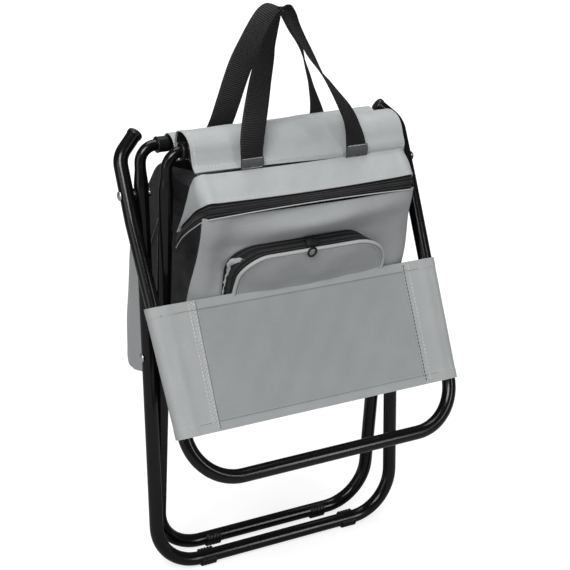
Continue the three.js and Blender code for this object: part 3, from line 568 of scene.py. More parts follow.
# Painted sheen: the upper gussets' charcoal is twice as pale as the lower gussets' and bluer.
sheen_charcoal = coated_cloth("charcoal_painted_sheen_cloth", (0.042, 0.043, 0.05), sheen=0.1, rough=0.5, crease=0.6)
patch_cloth = coated_cloth("grey_patch_cloth", (0.06, 0.061, 0.063), sheen=0.05, rough=0.6, crease=0.4)
edge_tape = coated_cloth("edge_tape", (0.46, 0.475, 0.47), thread=0.5, rough=0.5, crease=0.1)
thread = moulded_plastic("pale_thread", (0.5, 0.51, 0.5), 0.6)
hem_thread = moulded_plastic("hem_thread", (0.45, 0.46, 0.455), 0.6)
lid_thread = moulded_plastic("lid_thread", (0.36, 0.37, 0.37), 0.65)
tape_thread = moulded_plastic("zip_tape_thread", (0.075, 0.075, 0.078), 0.6)
slider_plastic = moulded_plastic("slider_plastic", (0.002, 0.002, 0.002), 0.62)
dark_thread = moulded_plastic("grey_thread", (0.12, 0.12, 0.12), 0.6)
hem_edge_holes_and_shade = moulded_plastic("hem_edge_holes_and_shade", (0.02, 0.02, 0.021), 0.65)
webbing = webbing_finish("black_webbing")
zip_tape = zip_cloth("black_zip_tape")
zip_coil = moulded_plastic("zip_coil", (0.026, 0.026, 0.028), 0.42)
steel_coat = powder_coat("black_powder_coat")
plastic = moulded_plastic("black_plastic")
rivet_metal = rivet_finish("zinc_rivets")
foil = foil_finish("foil_lining")


# Steel frames

def leg_path(half):
    """Centre line of a leg frame in its own plane: neck, seat bend, leg, floor bend, and the same back."""
    inward = half - SEAT_BEND - NECK_INSERT
    left = [(-inward, 0, LEG_UP), (-half, 0, LEG_UP), (-half, 0, -LEG_DOWN)]
    right = [(half, 0, -LEG_DOWN), (half, 0, LEG_UP), (inward, 0, LEG_UP)]
    return even_line(rounded_path(left + right, [SEAT_BEND, FLOOR_BEND, FLOOR_BEND, SEAT_BEND]), 3.0)


def leg_frame(name, half, lean_angle, body, node):
    """Round tube whose ends neck down from 8 to 6.25 mm in an ease that ends 4 mm below the seat bend."""
    path = leg_path(half)
    taper_from = LEG_UP - SEAT_BEND - 4 - NECK_TAPER
    radii = TUBE + (NECK - TUBE) * ease((path[:, 2] - taper_from) / NECK_TAPER)
    across = leaning([0, 1, 0], lean_angle)
    frame_tube = tube(name, leaning(path, lean_angle), radii, steel_coat, across=across)
    fasten(frame_tube, body, node)


leg_frame("outer_legs", OUTER_X, -LEG_LEAN, OUTER, "outer_leg_frame")
leg_frame("inner_legs", INNER_X, LEG_LEAN, INNER, "inner_leg_frame")


# Bushes, as [distance in from their mouth, radius]
BUSH_BORE = 6.4
LOW_RIB = np.array([(0, 8.2), (0.4, 8.8), (1.0, 9.0), (2.2, 9.0), (2.8, 8.8), (3.1, 8.2)])
REAR_BUSH = [(0, BUSH_BORE), (0, 8.3), (0.4, 8.9), (1.0, 9.1), (1.8, 9.0), (2.2, 8.7), (2.6, 8.6),
             (12.6, 8.6), (13.2, 8.3), (13.4, 8.05), (13.5, BUSH_BORE)]
FRONT_BUSH = [(0, BUSH_BORE), (0, 8.4), (0.5, 9.2), (1.3, 9.6), (3.6, 9.6), (4.4, 9.3), (4.9, 8.5),
              (5.1, 8.05), (7.0, 8.05), *(LOW_RIB + [7.4, 0]), *(LOW_RIB + [11.6, 0]), (14.8, BUSH_BORE)]


def seat_bar(which, half, lean_angle, body, bush_outline, bush_out):
    """A straight pipe over the two necks, with a bush at each end whose mouth is bush_out millimetres
    outside the end of the seat bend. The rear bush is a collar and a cylinder, the front one a collar and
    two ribs."""
    end = half - SEAT_BEND - 8.3
    centre = leaning([0, 0, LEG_UP], lean_angle)
    outline = [(-end, NECK), (-end, 7.4), (-end + 0.6, TUBE), (end - 0.6, TUBE), (end, 7.4), (end, NECK)]
    bar = turned(which + "_bar", outline, centre, (1, 0, 0), steel_coat)
    fasten(bar, body, which + "_seat_bar")
    for side, sign in SIDES:
        mouth = centre + [sign * (half - SEAT_BEND + bush_out), 0, 0]
        bush = turned(f"{which}_bush_{side}", bush_outline, mouth, (-sign, 0, 0), plastic)
        fasten(bush, body, f"{which}_bar_bush_{side}")


seat_bar("rear", OUTER_X, -LEG_LEAN, OUTER, REAR_BUSH, -1)
seat_bar("front", INNER_X, LEG_LEAN, INNER, FRONT_BUSH, 3)


def rivet(name, sign, from_x, to_x, centre, body, node):
    """A shank with a domed head at each end; the dome is a shallow arc over a thin rim."""
    low, high = from_x - TUBE - GAP, to_x + TUBE + GAP
    t = np.linspace(0, np.pi / 2, 7)
    dome = np.stack([0.35 + DOME_HEIGHT * np.sin(t), RIVET_HEAD * np.cos(t) + 0.02], -1)
    shank = [[low, RIVET_HEAD], [low, RIVET_SHANK], [high, RIVET_SHANK], [high, RIVET_HEAD]]
    outline = np.vstack([dome[::-1] * [-1, 1] + [low, 0], shank, dome + [high, 0]])
    head = turned(name, outline, np.asarray(centre, float), (sign, 0, 0), rivet_metal, 28)
    fasten(head, body, node)


for side, sign in SIDES:
    rivet(f"pivot_rivet_head_{side}", sign, INNER_X, OUTER_X, (0, 0, 0), ROOT, f"pivot_rivet_{side}")
    rivet(f"backrest_rivet_head_{side}", sign, OUTER_X, BACK_X, BACK_PIVOT, OUTER, f"backrest_rivet_{side}")
# The washers are shown as their own solids, in black plastic
for node_name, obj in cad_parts.items():
    if "washer" in node_name:
        obj.data.materials.clear()
        obj.data.materials.append(plastic)


def foot_pad(name, x, facing, lean_angle, body, node):
    """A ribbed collar round the floor bar. It spans 254 degrees round the bar about its facing, thins
    towards both rims, has five ribs along it with a smaller radius between, and is cut off at the floor."""
    s = np.linspace(0, 1, 90)
    ribs = np.clip(1.6 * np.sin(np.pi * (s * 10 - 0.5)) + 0.6, 0, 1)
    outer = PAD_WAIST + (PAD_RIB - PAD_WAIST) * ribs
    outer[[0, -1]] = PAD_WAIST - 0.2
    angle = facing + np.radians(np.linspace(-127, 127, 61))
    down = -np.pi / 2 - lean_angle
    flat = PAD_FLAT / np.maximum(np.cos(angle - down), 0.2)
    outer = np.minimum(outer[:, None], flat[None])
    rim = np.clip(np.minimum(np.arange(61), 60 - np.arange(61)) / 3, 0, 1) ** 0.5
    edge = PAD_BORE + 0.03
    radius = edge + (outer - edge) * (0.25 + 0.75 * rim)
    ring = np.concatenate([radius, np.full_like(radius, PAD_BORE)], axis=1)
    turn = np.concatenate([angle, angle[::-1]])
    along = np.broadcast_to(((s - 0.5) * PAD_LENGTH + x)[:, None], ring.shape)
    points = np.stack([along, ring * np.cos(turn), ring * np.sin(turn) - LEG_DOWN], -1)
    fasten(closed_folded_sweep(name, leaning(points, lean_angle), plastic), body, node)


# The pads' middles are turned towards the floor of the open stool
FACING = OPEN_TURN * 0.9
for side, sign in SIDES:
    outer_pad = f"outer_pad_{side}", sign * OUTER_PAD_X, -np.pi / 2 + FACING, -LEG_LEAN
    foot_pad(*outer_pad, OUTER, f"outer_foot_{side}")
    inner_pad = f"inner_pad_{side}", sign * INNER_PAD_X, -np.pi / 2 - FACING, LEG_LEAN
    foot_pad(*inner_pad, INNER, f"inner_foot_{side}")


# Backrest

def on_backrest(points):
    """From the backrest's own plane, x across, y behind it and z up it from its rivets, to the part."""
    return leaning(points, -BACK_LEAN, BACK_PIVOT)


def closing(x, t):
    """How far the legs of the backrest have closed in at t: nothing beside the rivets, and from the end of
    that straight stretch in proportion to one distance on the left and one on the right at the lower bar,
    whose middle stays where it is."""
    share = np.clip(x / (BACK_X - FLOOR_BEND), -1, 1)
    below = np.clip(-BACK_STRAIGHT - t, 0, None) / (BACK_LENGTH - BACK_STRAIGHT)
    return share * np.where(x < 0, CLOSING_LEFT, CLOSING_RIGHT) * below


tip_x, tip_up = BACK_X - HOOK_BENT * math.sqrt(0.5), HOOK_STRAIGHT + HOOK_BENT * math.sqrt(0.5)
left_side = [(-tip_x, 0, tip_up), (-BACK_X, 0, HOOK_STRAIGHT), (-BACK_X, 0, -BACK_LENGTH)]
right_side = [(BACK_X, 0, -BACK_LENGTH), (BACK_X, 0, HOOK_STRAIGHT), (tip_x, 0, tip_up)]
back_bends = [HOOK_BEND, FLOOR_BEND, FLOOR_BEND, HOOK_BEND]
back_line = even_line(rounded_path(left_side + right_side, back_bends), 3.0)
back_line[:, 0] -= closing(back_line[:, 0], back_line[:, 2])
across_back = leaning([0, 1, 0], -BACK_LEAN)
back_tube = tube("backrest_tube", on_backrest(back_line), TUBE, steel_coat, across=across_back)
fasten(back_tube, BACK, "backrest_frame")

# The cap's outline, as [distance out from the tube's end, radius]
CAP_OUTLINE = [(-1.5, 7.9), (-1.5, 8.5), (-1.0, 8.7), (1.6, 8.7), (3.0, 8.2), (4.0, 6.8), (4.5, 4.4),
               (4.6, 0.05)]
for side, sign in SIDES:
    way = leaning([-sign * math.sqrt(0.5), 0, math.sqrt(0.5)], -BACK_LEAN)
    cap = turned(f"hook_cap_{side}", CAP_OUTLINE, on_backrest([sign * tip_x, 0, tip_up]), way, plastic)
    fasten(cap, BACK, f"backrest_cap_{side}")

# The band: its edges up and down the backrest's plane, where its sleeves are sewn on, and its hems
BAND_TOP, BAND_BOTTOM = -124.0, -267.5
HEM_LEFT, HEM_RIGHT = -126.5, 136.2
HEM_WIDTH, HEM_EXTRA = 11.6, 0.8


def narrowed(x, t):
    """x after the sleeves have followed the closing legs: the whole shift on a tube, none at the hem."""
    hem = np.where(x < 0, -HEM_LEFT, HEM_RIGHT)
    return x - closing(x, t) * np.clip((np.abs(x) - hem) / (BACK_X - hem), 0, 1)


def hem_depth(t):
    """Extra thickness of the folded hems along both edges, and nothing between them."""
    edge = np.minimum(BAND_TOP - t, t - BAND_BOTTOM)
    return HEM_EXTRA * (1 - ease((edge - HEM_WIDTH + 0.4) / 0.8))


def band_slack(x, t):
    """The sling's give: it hollows by 2.4 mm between the tubes, with faint slanting pulls across it."""
    open_part = np.cos(np.clip(x / 172, -1, 1) * np.pi / 2)
    edge_pull = 0.5 * np.sin(x / 23.0 + t / 31.0) * np.cos(x / 61.0) + 0.35 * crumple(x, t, 5, 46)
    return 2.4 * open_part**2 + edge_pull * open_part


def off_the_tubes(x):
    """1 between the tubes, easing to 0 over them."""
    return ease((BACK_X - 10 - np.abs(x)) / 20)


def band_rows(in_hem, between):
    """Places down the band, closer together in the hems at its top and bottom."""
    top = np.linspace(BAND_TOP, BAND_TOP - HEM_WIDTH - 1, in_hem)
    bottom = np.linspace(BAND_BOTTOM + HEM_WIDTH + 1, BAND_BOTTOM, in_hem)
    return np.concatenate([top, np.linspace(BAND_TOP - 15, BAND_BOTTOM + 15, between), bottom])


def band_centre():
    """The middle panel: flat across x and t, a little hollow, hemmed above and below."""
    x, t = np.meshgrid(np.linspace(HEM_LEFT - 5, HEM_RIGHT + 5, 150), band_rows(18, 44))
    y = -9.0 + band_slack(x, t)
    panel = cloth("band_centre", on_backrest(np.stack([x, y, t], -1)), 0.7 + hem_depth(t), band_cloth)
    fasten(panel, BACK, "backrest_band_centre")


def sleeve_section(sign, hem, radius=9.7, fold=30, front_y=-9.4, back_y=-8.0):
    """A sleeve seen from its end, from its front hem round the tube and back to the same seam: a straight,
    an arc of radius about the tube up to the tangent from the front layer, a straight to the fold, and a
    tail behind the front layer."""
    tube_x = sign * BACK_X
    past_half = math.atan2(-front_y, fold) - math.acos(radius / math.hypot(fold, front_y))
    front = np.stack([np.linspace(hem, tube_x, 34)[:-1], np.full(33, -radius)], -1)
    angle = np.linspace(-np.pi / 2, np.pi + past_half, 30)
    arc = np.stack([tube_x + sign * radius * np.cos(angle), radius * np.sin(angle)], -1)
    back = np.linspace(arc[-1], [tube_x - sign * fold, back_y], 12)[1:]
    tail = np.linspace(back[-1], [hem, back_y], 12)[1:]
    return np.vstack([front, arc, back, tail])


def band_sleeve(side, sign, hem):
    """The section carried up the tube; the front layer lies on the middle panel's edge and has its slack."""
    section = sleeve_section(sign, hem)
    x, t = np.meshgrid(section[:, 0], band_rows(16, 36))
    y = np.broadcast_to(section[:, 1], x.shape)
    front = ease((-y - 3) / 4)
    ripple = 0.25 * bump(np.abs(x), BACK_X, 7) * np.sin(t / 9.0)
    roll = 1.5 * bump(np.abs(x), BACK_X - 11, 7) * (0.8 + 0.2 * crumple(x, t, 7, 60))
    y = y + band_slack(x, t) * off_the_tubes(x) - front * (ripple + roll)
    grid = on_backrest(np.stack([narrowed(x, t), y, t], -1))
    sleeve = cloth(f"band_sleeve_{side}", grid, 0.7 + hem_depth(t) * 0.8, sleeve_cloth)
    fasten(sleeve, BACK, f"backrest_band_sleeve_{side}")


band_centre()
band_sleeve("left", -1, HEM_LEFT)
band_sleeve("right", 1, HEM_RIGHT)


def band_line(x, t, count=120):
    """A line of points just in front of the band, from x[0], t[0] to x[1], t[1], and the way out from it."""
    x = np.linspace(x[0], x[1], count)
    t = np.linspace(t[0], t[1], count)
    y = -10.25 - hem_depth(t) * 0.4 + band_slack(x, t) * off_the_tubes(x)
    return on_backrest(np.stack([narrowed(x, t), y, t], -1)), leaning([0, -1, 0], -BACK_LEAN)


def band_seam(x, short=2, count=120):
    """A line down the band at x, which stops short of both its edges."""
    return band_line((x, x), (BAND_TOP - short, BAND_BOTTOM + short), count)


band_seams = [band_seam(x) for x in (-130.4, -137.5, 144.8)]
sew("band_seam_stitches", band_seams, BACK, thread, pitch=4.3, length=3.1, width=0.85, height=0.65)
# Black dashes along the hems' edges: needle holes, and painted shadow under the edge of the folded hem.
sew("band_hem_edge_holes_and_shade", [band_seam(138.0)], BACK, hem_edge_holes_and_shade, pitch=4.3, length=3.6, width=1.2,
    height=0.6)
sew("band_left_edge_holes_and_shade", [band_seam(-128.0, 1)], BACK, hem_edge_holes_and_shade, pitch=2.6, length=2.3, width=0.8,
    height=0.45)
zigzag, zigzag_out = band_seam(-132.8, count=61)
zigzag = zigzag + np.array([1.5, 0, 0]) * (np.arange(61) % 2 * 2 - 1)[:, None]
sew("band_zigzag_stitches", [(even_line(zigzag, 0.7), zigzag_out)], BACK, thread, pitch=2.3, length=1.8,
    width=0.6, height=0.5)
hem_seams = [band_line((-BACK_X, BACK_X), (t, t), 260) for t in (BAND_TOP - 10.4, BAND_BOTTOM + 10.4)]
sew("band_hem_stitches", hem_seams, BACK, dark_thread, width=0.6, height=0.5)


# Seat cloth

def rows_through(stations, count):
    """A grid whose rows run smoothly through given rows of points, at even steps between them."""
    stations = np.asarray(stations, float)
    return smooth_line(stations.reshape(len(stations), -1), count).reshape(count, -1, 3)


def profile_at(x, line, count):
    """A side line of [y, z] at one x, resampled smoothly."""
    return np.column_stack([np.full(count, float(x)), smooth_line(line, count)])


# Side lines [y, z] of the loops over the seat bars, from the hem over the bar to the fold between the bars
front_left = [(-55, 224.6), (-49.6, 229), (-45.4, 239), (-42, 249), (-34, 257), (-17, 260.4), (-8.2, 257),
              (-4.4, 249), (-3.2, 240), (-2.8, 229)]
front_right = [(-56.2, 220.6), (-57.6, 229), (-54.2, 236), (-49.6, 246), (-43, 254), (-30, 258.6),
               (-14, 255.6), (-5, 248), (-3.2, 240), (-2.8, 229)]
rear_left = [(31.5, 225.4), (29, 236), (25.5, 244.5), (18.5, 248.8), (10, 247.8), (3.6, 243), (0.8, 237),
             (0.4, 229)]
rear_right = [(31.5, 225.4), (31.4, 237), (27.6, 246.4), (20, 251.4), (10, 250.8), (2.4, 246.4), (0.6, 239),
              (0.4, 229)]


def seat_loop(left, right, bar_y, reach, rows, columns, seed):
    """A loose loop over a seat bar: a left and a right side line blended across x, with slack waves that die
    out at the hem and at the fold. Gives its grid, the directions away from the bar, the waves, x, and the
    share s along the side lines."""
    share = ease(np.linspace(0, 1, rows)[:, None, None] * 1.1)
    grid = (1 - share) * profile_at(0, left, columns)[None] + share * profile_at(0, right, columns)[None]
    x = np.linspace(-reach, reach, rows)[:, None]
    s = np.linspace(0, 1, columns)[None]
    grid[..., 0] += x
    away = np.sin(np.pi * np.clip(s * 1.05, 0, 1)) ** 0.7
    wave = crumple(x, s * 60, seed, 70) * 0.8 * away + crumple(x, s * 60, seed + 1, 24) * 0.3 * away
    normal = surface_normals(grid)
    off_bar = np.sum((normal * (grid - [0, bar_y, LEG_UP - 1]))[..., 1:], axis=-1, keepdims=True)
    return grid, normal * np.where(off_bar < 0, -1, 1), wave, x, s


grid, outward, wave, x, s = seat_loop(front_left, front_right, -17, 128, 150, 70, 11)
# Two slanting dents in the loop's front, with a swelling between them
right_dent = 4.0 * bump(x + 60 * (s - 0.3), 34, 15) * bump(s, 0.3, 0.13)
left_dent = 1.8 * bump(x + 30 * (s - 0.3), -28, 12) * bump(s, 0.28, 0.1)
between = 1.4 * bump(x, 2, 16) * bump(s, 0.32, 0.14)
grid = grid + outward * (wave + between - right_dent - left_dent)[..., None]
hem = 0.9 + 1.0 * (1 - ease(s * 95 - 6.5)) + 0 * x
front_loop = cloth("seat_front_loop", grid, hem, grey_cloth)
front_hem_row = grid[:, 4] + outward[:, 4] * 1.15, outward[:, 4]
front_rim = grid[0]
rim_row = grid[2, 3:52] + outward[2, 3:52] * 0.7, outward[2, 3:52]
# Painted shade: a near-black sheet 1.5 mm inside the front loop's left end darkens the loop's mouth; it
# stands for shade, not for a cloth of the stool.
loop_shade_rows = grid[:26, :58] - outward[:26, :58] * 1.5 + [1.2, 0, 0]
facing = cloth("front_loop_painted_shade", loop_shade_rows, 0.8, painted_shade_charcoal)
fasten(facing, INNER)
fasten(front_loop, INNER, "seat_sleeve_front")
sew("front_hem_stitches", [front_hem_row], INNER, hem_thread, pitch=4.0, length=2.7, width=0.65, height=0.5)

lining_line = [(-52, 225.2), (-44, 228.6), (-34, 234.6), (-27.6, 241.6), (-23.2, 246.9), (-16.7, 249),
               (-10.6, 246.8), (-7.4, 242), (-6.8, 236)]
lining = np.stack([profile_at(v, lining_line, 40) for v in np.linspace(-108, 126.5, 12)])
fasten(cloth("front_bar_wrap", lining, 0.8, grey_cloth), INNER)

grid, outward, wave, x, s = seat_loop(rear_left, rear_right, 17, 127, 120, 56, 23)
grid = grid + outward * np.minimum(wave * 0.5, 0.5)[..., None]
hem = 0.9 + 0.9 * (1 - ease(s * 88 - 9.5)) + 0 * x
rear_loop = cloth("seat_rear_loop", grid, hem, grey_cloth)
rear_hem_row = grid[:, 7] + outward[:, 7] * 1.1, outward[:, 7]
fasten(rear_loop, OUTER, "seat_sleeve_rear")
sew("rear_hem_stitches", [rear_hem_row], OUTER, hem_thread, pitch=4.0, length=3.0, width=0.8, height=0.6)


def rim_binding(name, rim, body):
    """The turned edge at a loop's left end: an oval section 1.3 by 1.7 mm carried along the rim."""
    line = even_line(rim, 1.5)
    oval = circle(np.full(len(line), 1.0), 12) * [0.65, 0.85]
    fasten(closed_sweep(name, swept(line, oval, (1, 0, 0)), grey_cloth), body)


rim_binding("front_loop_binding", front_rim, INNER)
sew("front_rim_stitches", [rim_row], INNER, thread, pitch=3.2, length=2.1, width=0.7, height=0.55)

FOLD_TOP, FOLD_Z = 229.6, 188.3


def seat_fold(name, y_top, y_low, node=None):
    """Half of the fold that hangs between the seat bars, from the loop's inner end down to the fold line;
    its ends draw in by 12 mm."""
    v = np.linspace(0, 1, 40)[:, None]
    x = np.linspace(-1, 1, 110)[None, :] * (112 - 12 * ease(v * 1.4))
    z = FOLD_TOP + (FOLD_Z - FOLD_TOP) * v
    y = y_top + (y_low - y_top) * ease(v) + 0.25 * crumple(x, z, 31, 40) * np.sin(np.pi * v)
    grid = np.stack([x + 0 * v, y, z + 0 * x], -1)
    half = cloth(name, grid, 0.8, grey_cloth)
    blend(half)
    label(half, node)


seat_fold("seat_fold_front", -2.7, -0.55, "seat_fold")
seat_fold("seat_fold_rear", 0.35, 0.45)


# Cooler bag

# Half the bag's width, and the side lines [y, z] of its front and back from the top down
BAG_X = 131.0
front_line = np.array([(-81.2, 181.5), (-77, 166), (-70, 148), (-56, 112), (-45.5, 78), (-38.6, 40),
                       (-36.4, -8), (-36, -62)])
rear_line = np.array([(33, 213), (46, 206), (66, 187), (95, 150), (126, 95), (136, 50), (140.8, 11),
                      (144.5, -28), (145.8, -50), (146, -61), (143.5, -67), (128, -68.5)])
BAG_FLOOR, FLOOR_FRONT, FLOOR_BACK = -67.0, -35.2, 139.0


def between(first, second, count):
    """A grid from one line across to another of as many points, and sin(pi u) over its share u across."""
    u = np.linspace(0, 1, count)[None, :, None]
    return first[:, None] + (second - first)[:, None] * u, np.sin(np.pi * u[..., 0])


def depth_on(line, z):
    """Depth y of a side line at height z."""
    order = np.argsort(line[:, 1])
    return np.interp(z, line[order, 1], line[order, 0])


FRONT_CURVE = smooth_line(front_line, 120)


def front_reach(x, z):
    """x after the panel has spread at its right, by 16 mm at the edge from z = 80 down and by nothing at the
    zip, and drawn in at its left, by 2.5 mm round z = 130."""
    right = 16 * ease((175 - z) / 95) * (0.4 + 0.6 * ease((z + 65) / 90)) * np.clip(x / BAG_X, 0, 1) ** 2
    left = 2.5 * bump(z, 130, 32) * np.clip(-x / BAG_X, 0, 1) ** 2
    return x + right + left


def front_puff(x, z):
    """How far the padding stands out: 2.2 mm in the middle, a fuller roll of 16 mm just under the zip, a
    groove of 3 mm along the top of the pocket and a hollow of 6.5 mm inside the left edge."""
    upright = np.sin(np.clip((z + 62) / 243, 0, 1) * np.pi)
    middle = 2.2 * np.cos(np.clip(x / BAG_X, -1, 1) * np.pi / 2) * upright
    roll = 16 * bump(z - 0.05 * x, 161, 14) * bump(x, 10, 74)
    groove = 3.0 * bump(z, 141, 8) * bump(x, 0, 84)
    return middle + roll - groove - 6.5 * bump(x, -96, 15) * bump(z, 134, 38)


def front_panel():
    """The padded front: flat across the middle, rounding back by 13 mm towards both side edges as a quarter
    circle does, with soft dents from the foam behind it."""
    depth, height = FRONT_CURVE[:, :1], FRONT_CURVE[:, 1:]
    side = np.linspace(-1, 1, 150)
    bow = np.sign(side) * (1 - (1 - np.abs(side)) ** 1.15)
    x = bow[None] * (BAG_X - 0.6) + 0 * depth
    edge = np.clip((np.abs(x) - (BAG_X - 20)) / 20, 0, 1)
    back = 13.0 * (1 - np.sqrt(np.clip(1 - edge**2, 0, 1)))
    z = height + 0 * x
    low = ease((150 - z) / 120)
    sag = 1.3 * crumple(x, z, 41, 80) + 0.45 * crumple(x, z, 42, 34)
    top_pull = 0.42 * bump(z, 172, 9) * np.cos(x / 21.0)
    y = depth + back * (0.55 + 0.45 * low) - front_puff(x, z) - (sag + top_pull) * (1 - edge)
    return np.stack([front_reach(x, z), y, z], -1)


panel = cloth("padded_front", front_panel(), 1.6, front_cloth)
label(blend_up(panel), "bag_front")


def rear_shell():
    """The bag's back: its side line carried across x, turning round both corners in arcs of 15 mm and
    running forward 45 mm along the sides, whose lower edges rise by 11 mm; it swells between the seams."""
    line = smooth_line(rear_line, 110)
    corner, run = 15.0, 45.0
    t = np.linspace(0, 1, 14)
    arc = np.linspace(0, np.pi / 2, 12)[1:]
    side = np.column_stack([np.full(14, BAG_X), -corner - run + run * t])
    bend = np.column_stack([BAG_X - corner + corner * np.cos(arc), -corner + corner * np.sin(arc)])
    width = np.linspace(BAG_X - corner, -BAG_X + corner, 90)[1:-1]
    middle = np.column_stack([width, 0 * width])
    section = np.vstack([side, bend, middle, (bend * [-1, 1])[::-1], (side * [-1, 1])[::-1]])
    x = section[None, :, 0] + 0 * line[:, :1]
    shrink = np.clip((line[:, :1] - 8) / 62, 0.18, 1)
    y = line[:, :1] + section[None, :, 1] * shrink
    z = line[:, 1:] + 0 * x
    across = np.cos(np.clip(x / BAG_X, -1, 1) * np.pi / 2)
    swell = (3.2 * np.sin(np.clip((z + 66) / 280, 0, 1) * np.pi) + 1.3 * crumple(x, z, 51, 110)
             + 0.45 * crumple(x, z, 52, 38)) * across**0.6
    y = y + swell * np.clip(across * 3, 0, 1)
    side_wave = (0.5 + 0.5 * crumple(y, z, 53, 50)) * (np.abs(section[None, :, 0]) > BAG_X - 3)
    x = x - np.sign(x) * side_wave * 0.9
    z = z + 11 * ease((-section[None, :, 1] - 10) / 48) * ease((-24 - z) / 40)
    return np.stack([x, y, z], -1)


shell_grid = rear_shell()
label(blend_up(cloth("bag_back", shell_grid, 1.6, grey_cloth)), "bag_rear")


def shoulder(side, columns):
    """Charcoal cloth that carries the side on to the back's edge above z = 108: the shell's own grid there,
    moved out by 1.1 mm. Its charcoal is darkened as painted shade."""
    rows = shell_grid[:, 60, 2] > 108
    part = shell_grid[rows][:, columns]
    out = np.stack([np.sign(part[..., 0]), 0 * part[..., 0], 0 * part[..., 0]], -1)
    piece = cloth(f"shoulder_{side}", part + out * 1.1, 0.8, painted_shade_charcoal)
    label(blend_up(piece))


shoulder("right", slice(0, 17))
shoulder("left", slice(shell_grid.shape[1] - 17, None))


def bag_floor():
    """The base: a rounded sheet between the front and the back that sags 1.2 mm in the middle."""
    x = np.linspace(-1, 1, 60)[None]
    y = np.linspace(0, 1, 40)[:, None]
    width = (BAG_X - 3.5) * np.sqrt(np.clip(1 - 0.02 * (2 * y - 1) ** 8, 0, 1))
    depth = FLOOR_FRONT + (FLOOR_BACK - FLOOR_FRONT) * y
    z = BAG_FLOOR + 1.5 - 1.2 * (1 - x**2) * np.sin(np.pi * y) + 0.4 * crumple(x * 130, y * 170, 61, 60)
    return np.stack([x * width, depth + 0 * x, z], -1)


fasten(cloth("bag_floor", bag_floor(), 1.8, grey_cloth), ROOT, "bag_base")


def lower_gusset(sign, half):
    """A side of the bag, cut in two at its inward crease so that each half can follow one frame. The front
    half runs from the front panel's edge to the crease, and the rear half from the crease to the back."""
    v = np.linspace(0, 1, 70)[:, None]
    z_front, z_crease, z_rear = (-64 + (top + 64) * v for top in (176, 168, 206))
    front = np.concatenate([0 * v + BAG_X - 1.2, depth_on(front_line, z_front) + 9.5, z_front], 1)
    rear_y = depth_on(rear_line, z_rear)
    rear_y = rear_y - 60 * np.clip((rear_y - 8) / 62, 0.18, 1) + 1.5
    rear = np.concatenate([0 * v + BAG_X - 1.6, rear_y, z_rear], 1)
    crease = np.concatenate([92 + 7 * np.sin(v * 4.0) - 2 * v, -4 + 16 * (1 - v), z_crease], 1)
    edges, seed = ((front, crease), 71) if half == "front" else ((crease, rear), 72)
    grid, fold = between(*edges, 40)
    inner = crumple(grid[..., 1], grid[..., 2], seed, 55)
    fine = crumple(grid[..., 1], grid[..., 2], 73, 21)
    grid[..., 0] += (4.5 * inner + 1.5 * fine - 5.5) * fold
    grid[..., 0] *= sign
    if half == "front":
        grid[..., 0] = front_reach(grid[..., 0], grid[..., 2])
    return grid


def side_blend(obj):
    """A gusset's half, baked as blend() does it."""
    blend(obj)


for side, sign in SIDES:
    for half, node in (("front", f"bag_gusset_{side}"), ("rear", None)):
        piece = cloth(f"gusset_{side}_{half}", lower_gusset(sign, half), 0.9, charcoal)
        side_blend(piece)
        label(piece, node)


# Cover and main zip. Three lines from the left side round the corner to the front: the cover's two edges and
# the lower edge of the tape.

cover_top = [(-128.9, -19, 150), (-129.2, -27, 168), (-129.2, -38, 192), (-128.9, -49, 213),
             (-127.4, -54.4, 220.2), (-124.5, -55.8, 221.8), (-112, -56.2, 221.6)]
cover_low = [(-129.6, -12, 146.7), (-130.6, -27, 159.7), (-131.0, -46, 174.2), (-130.8, -62, 186.5),
             (-129.2, -75, 194.2), (-125, -79.8, 197.8), (-112, -81, 197.8)]
zip_low = [(-129.6, -8, 127), (-130.6, -23, 142), (-131.0, -42, 156.2), (-130.6, -59, 167.4),
           (-128.6, -74.4, 177.4), (-124.4, -81.6, 181.2), (-112, -83.0, 182.2)]


def round_the_bag(side_line, count):
    """A line along the left side, across the front and back along the right, mirrored left to right."""
    line = np.asarray(side_line, float)
    return smooth_line(np.vstack([line, (line * [-1, 1, 1])[::-1]]), count)


ROUND_STEPS = 260


def bag_cover():
    """The zipped cover: rows between its top edge and the zip, swelling outwards in the middle, with a ridge
    down each front corner and slack waves along the front."""
    top, low = round_the_bag(cover_top, ROUND_STEPS), round_the_bag(cover_low, ROUND_STEPS)
    v = np.linspace(0, 1, 34)[:, None, None]
    grid = top[None] * (1 - v) + low[None] * v
    x = grid[..., 0]
    front = ease((126 - np.abs(x)) / 8)
    swell = np.sin(np.pi * v[..., 0])
    out = np.stack([np.sign(x) * (1 - front), -front * 0.84, front * 0.52], -1)
    wave = crumple(x, v[..., 0] * 30, 81, 80) * 0.9 + crumple(x, v[..., 0] * 30, 82, 27) * 0.3
    lift = swell * (1.4 + wave + bump(np.abs(x), 124, 5))
    return grid + out * lift[..., None], low


cover_grid, cover_low_line = bag_cover()
zip_low_line = round_the_bag(zip_low, ROUND_STEPS)
rim = np.minimum(np.arange(34), 33 - np.arange(34))[:, None]
cover = cloth("bag_cover_cloth", cover_grid, 1.0 + 0.8 * (rim < 4), lid_cloth)
label(blend_up(cover), "bag_cover")


def outward_of(low, high):
    """Outward direction of a band between two lines round the bag."""
    out = unit(np.cross(unit(np.gradient(high, axis=0)), unit(low - high)))
    return out * np.sign(np.sum(out * (high - [0, 20, 150]), axis=1, keepdims=True))


zip_out = outward_of(zip_low_line, cover_low_line)


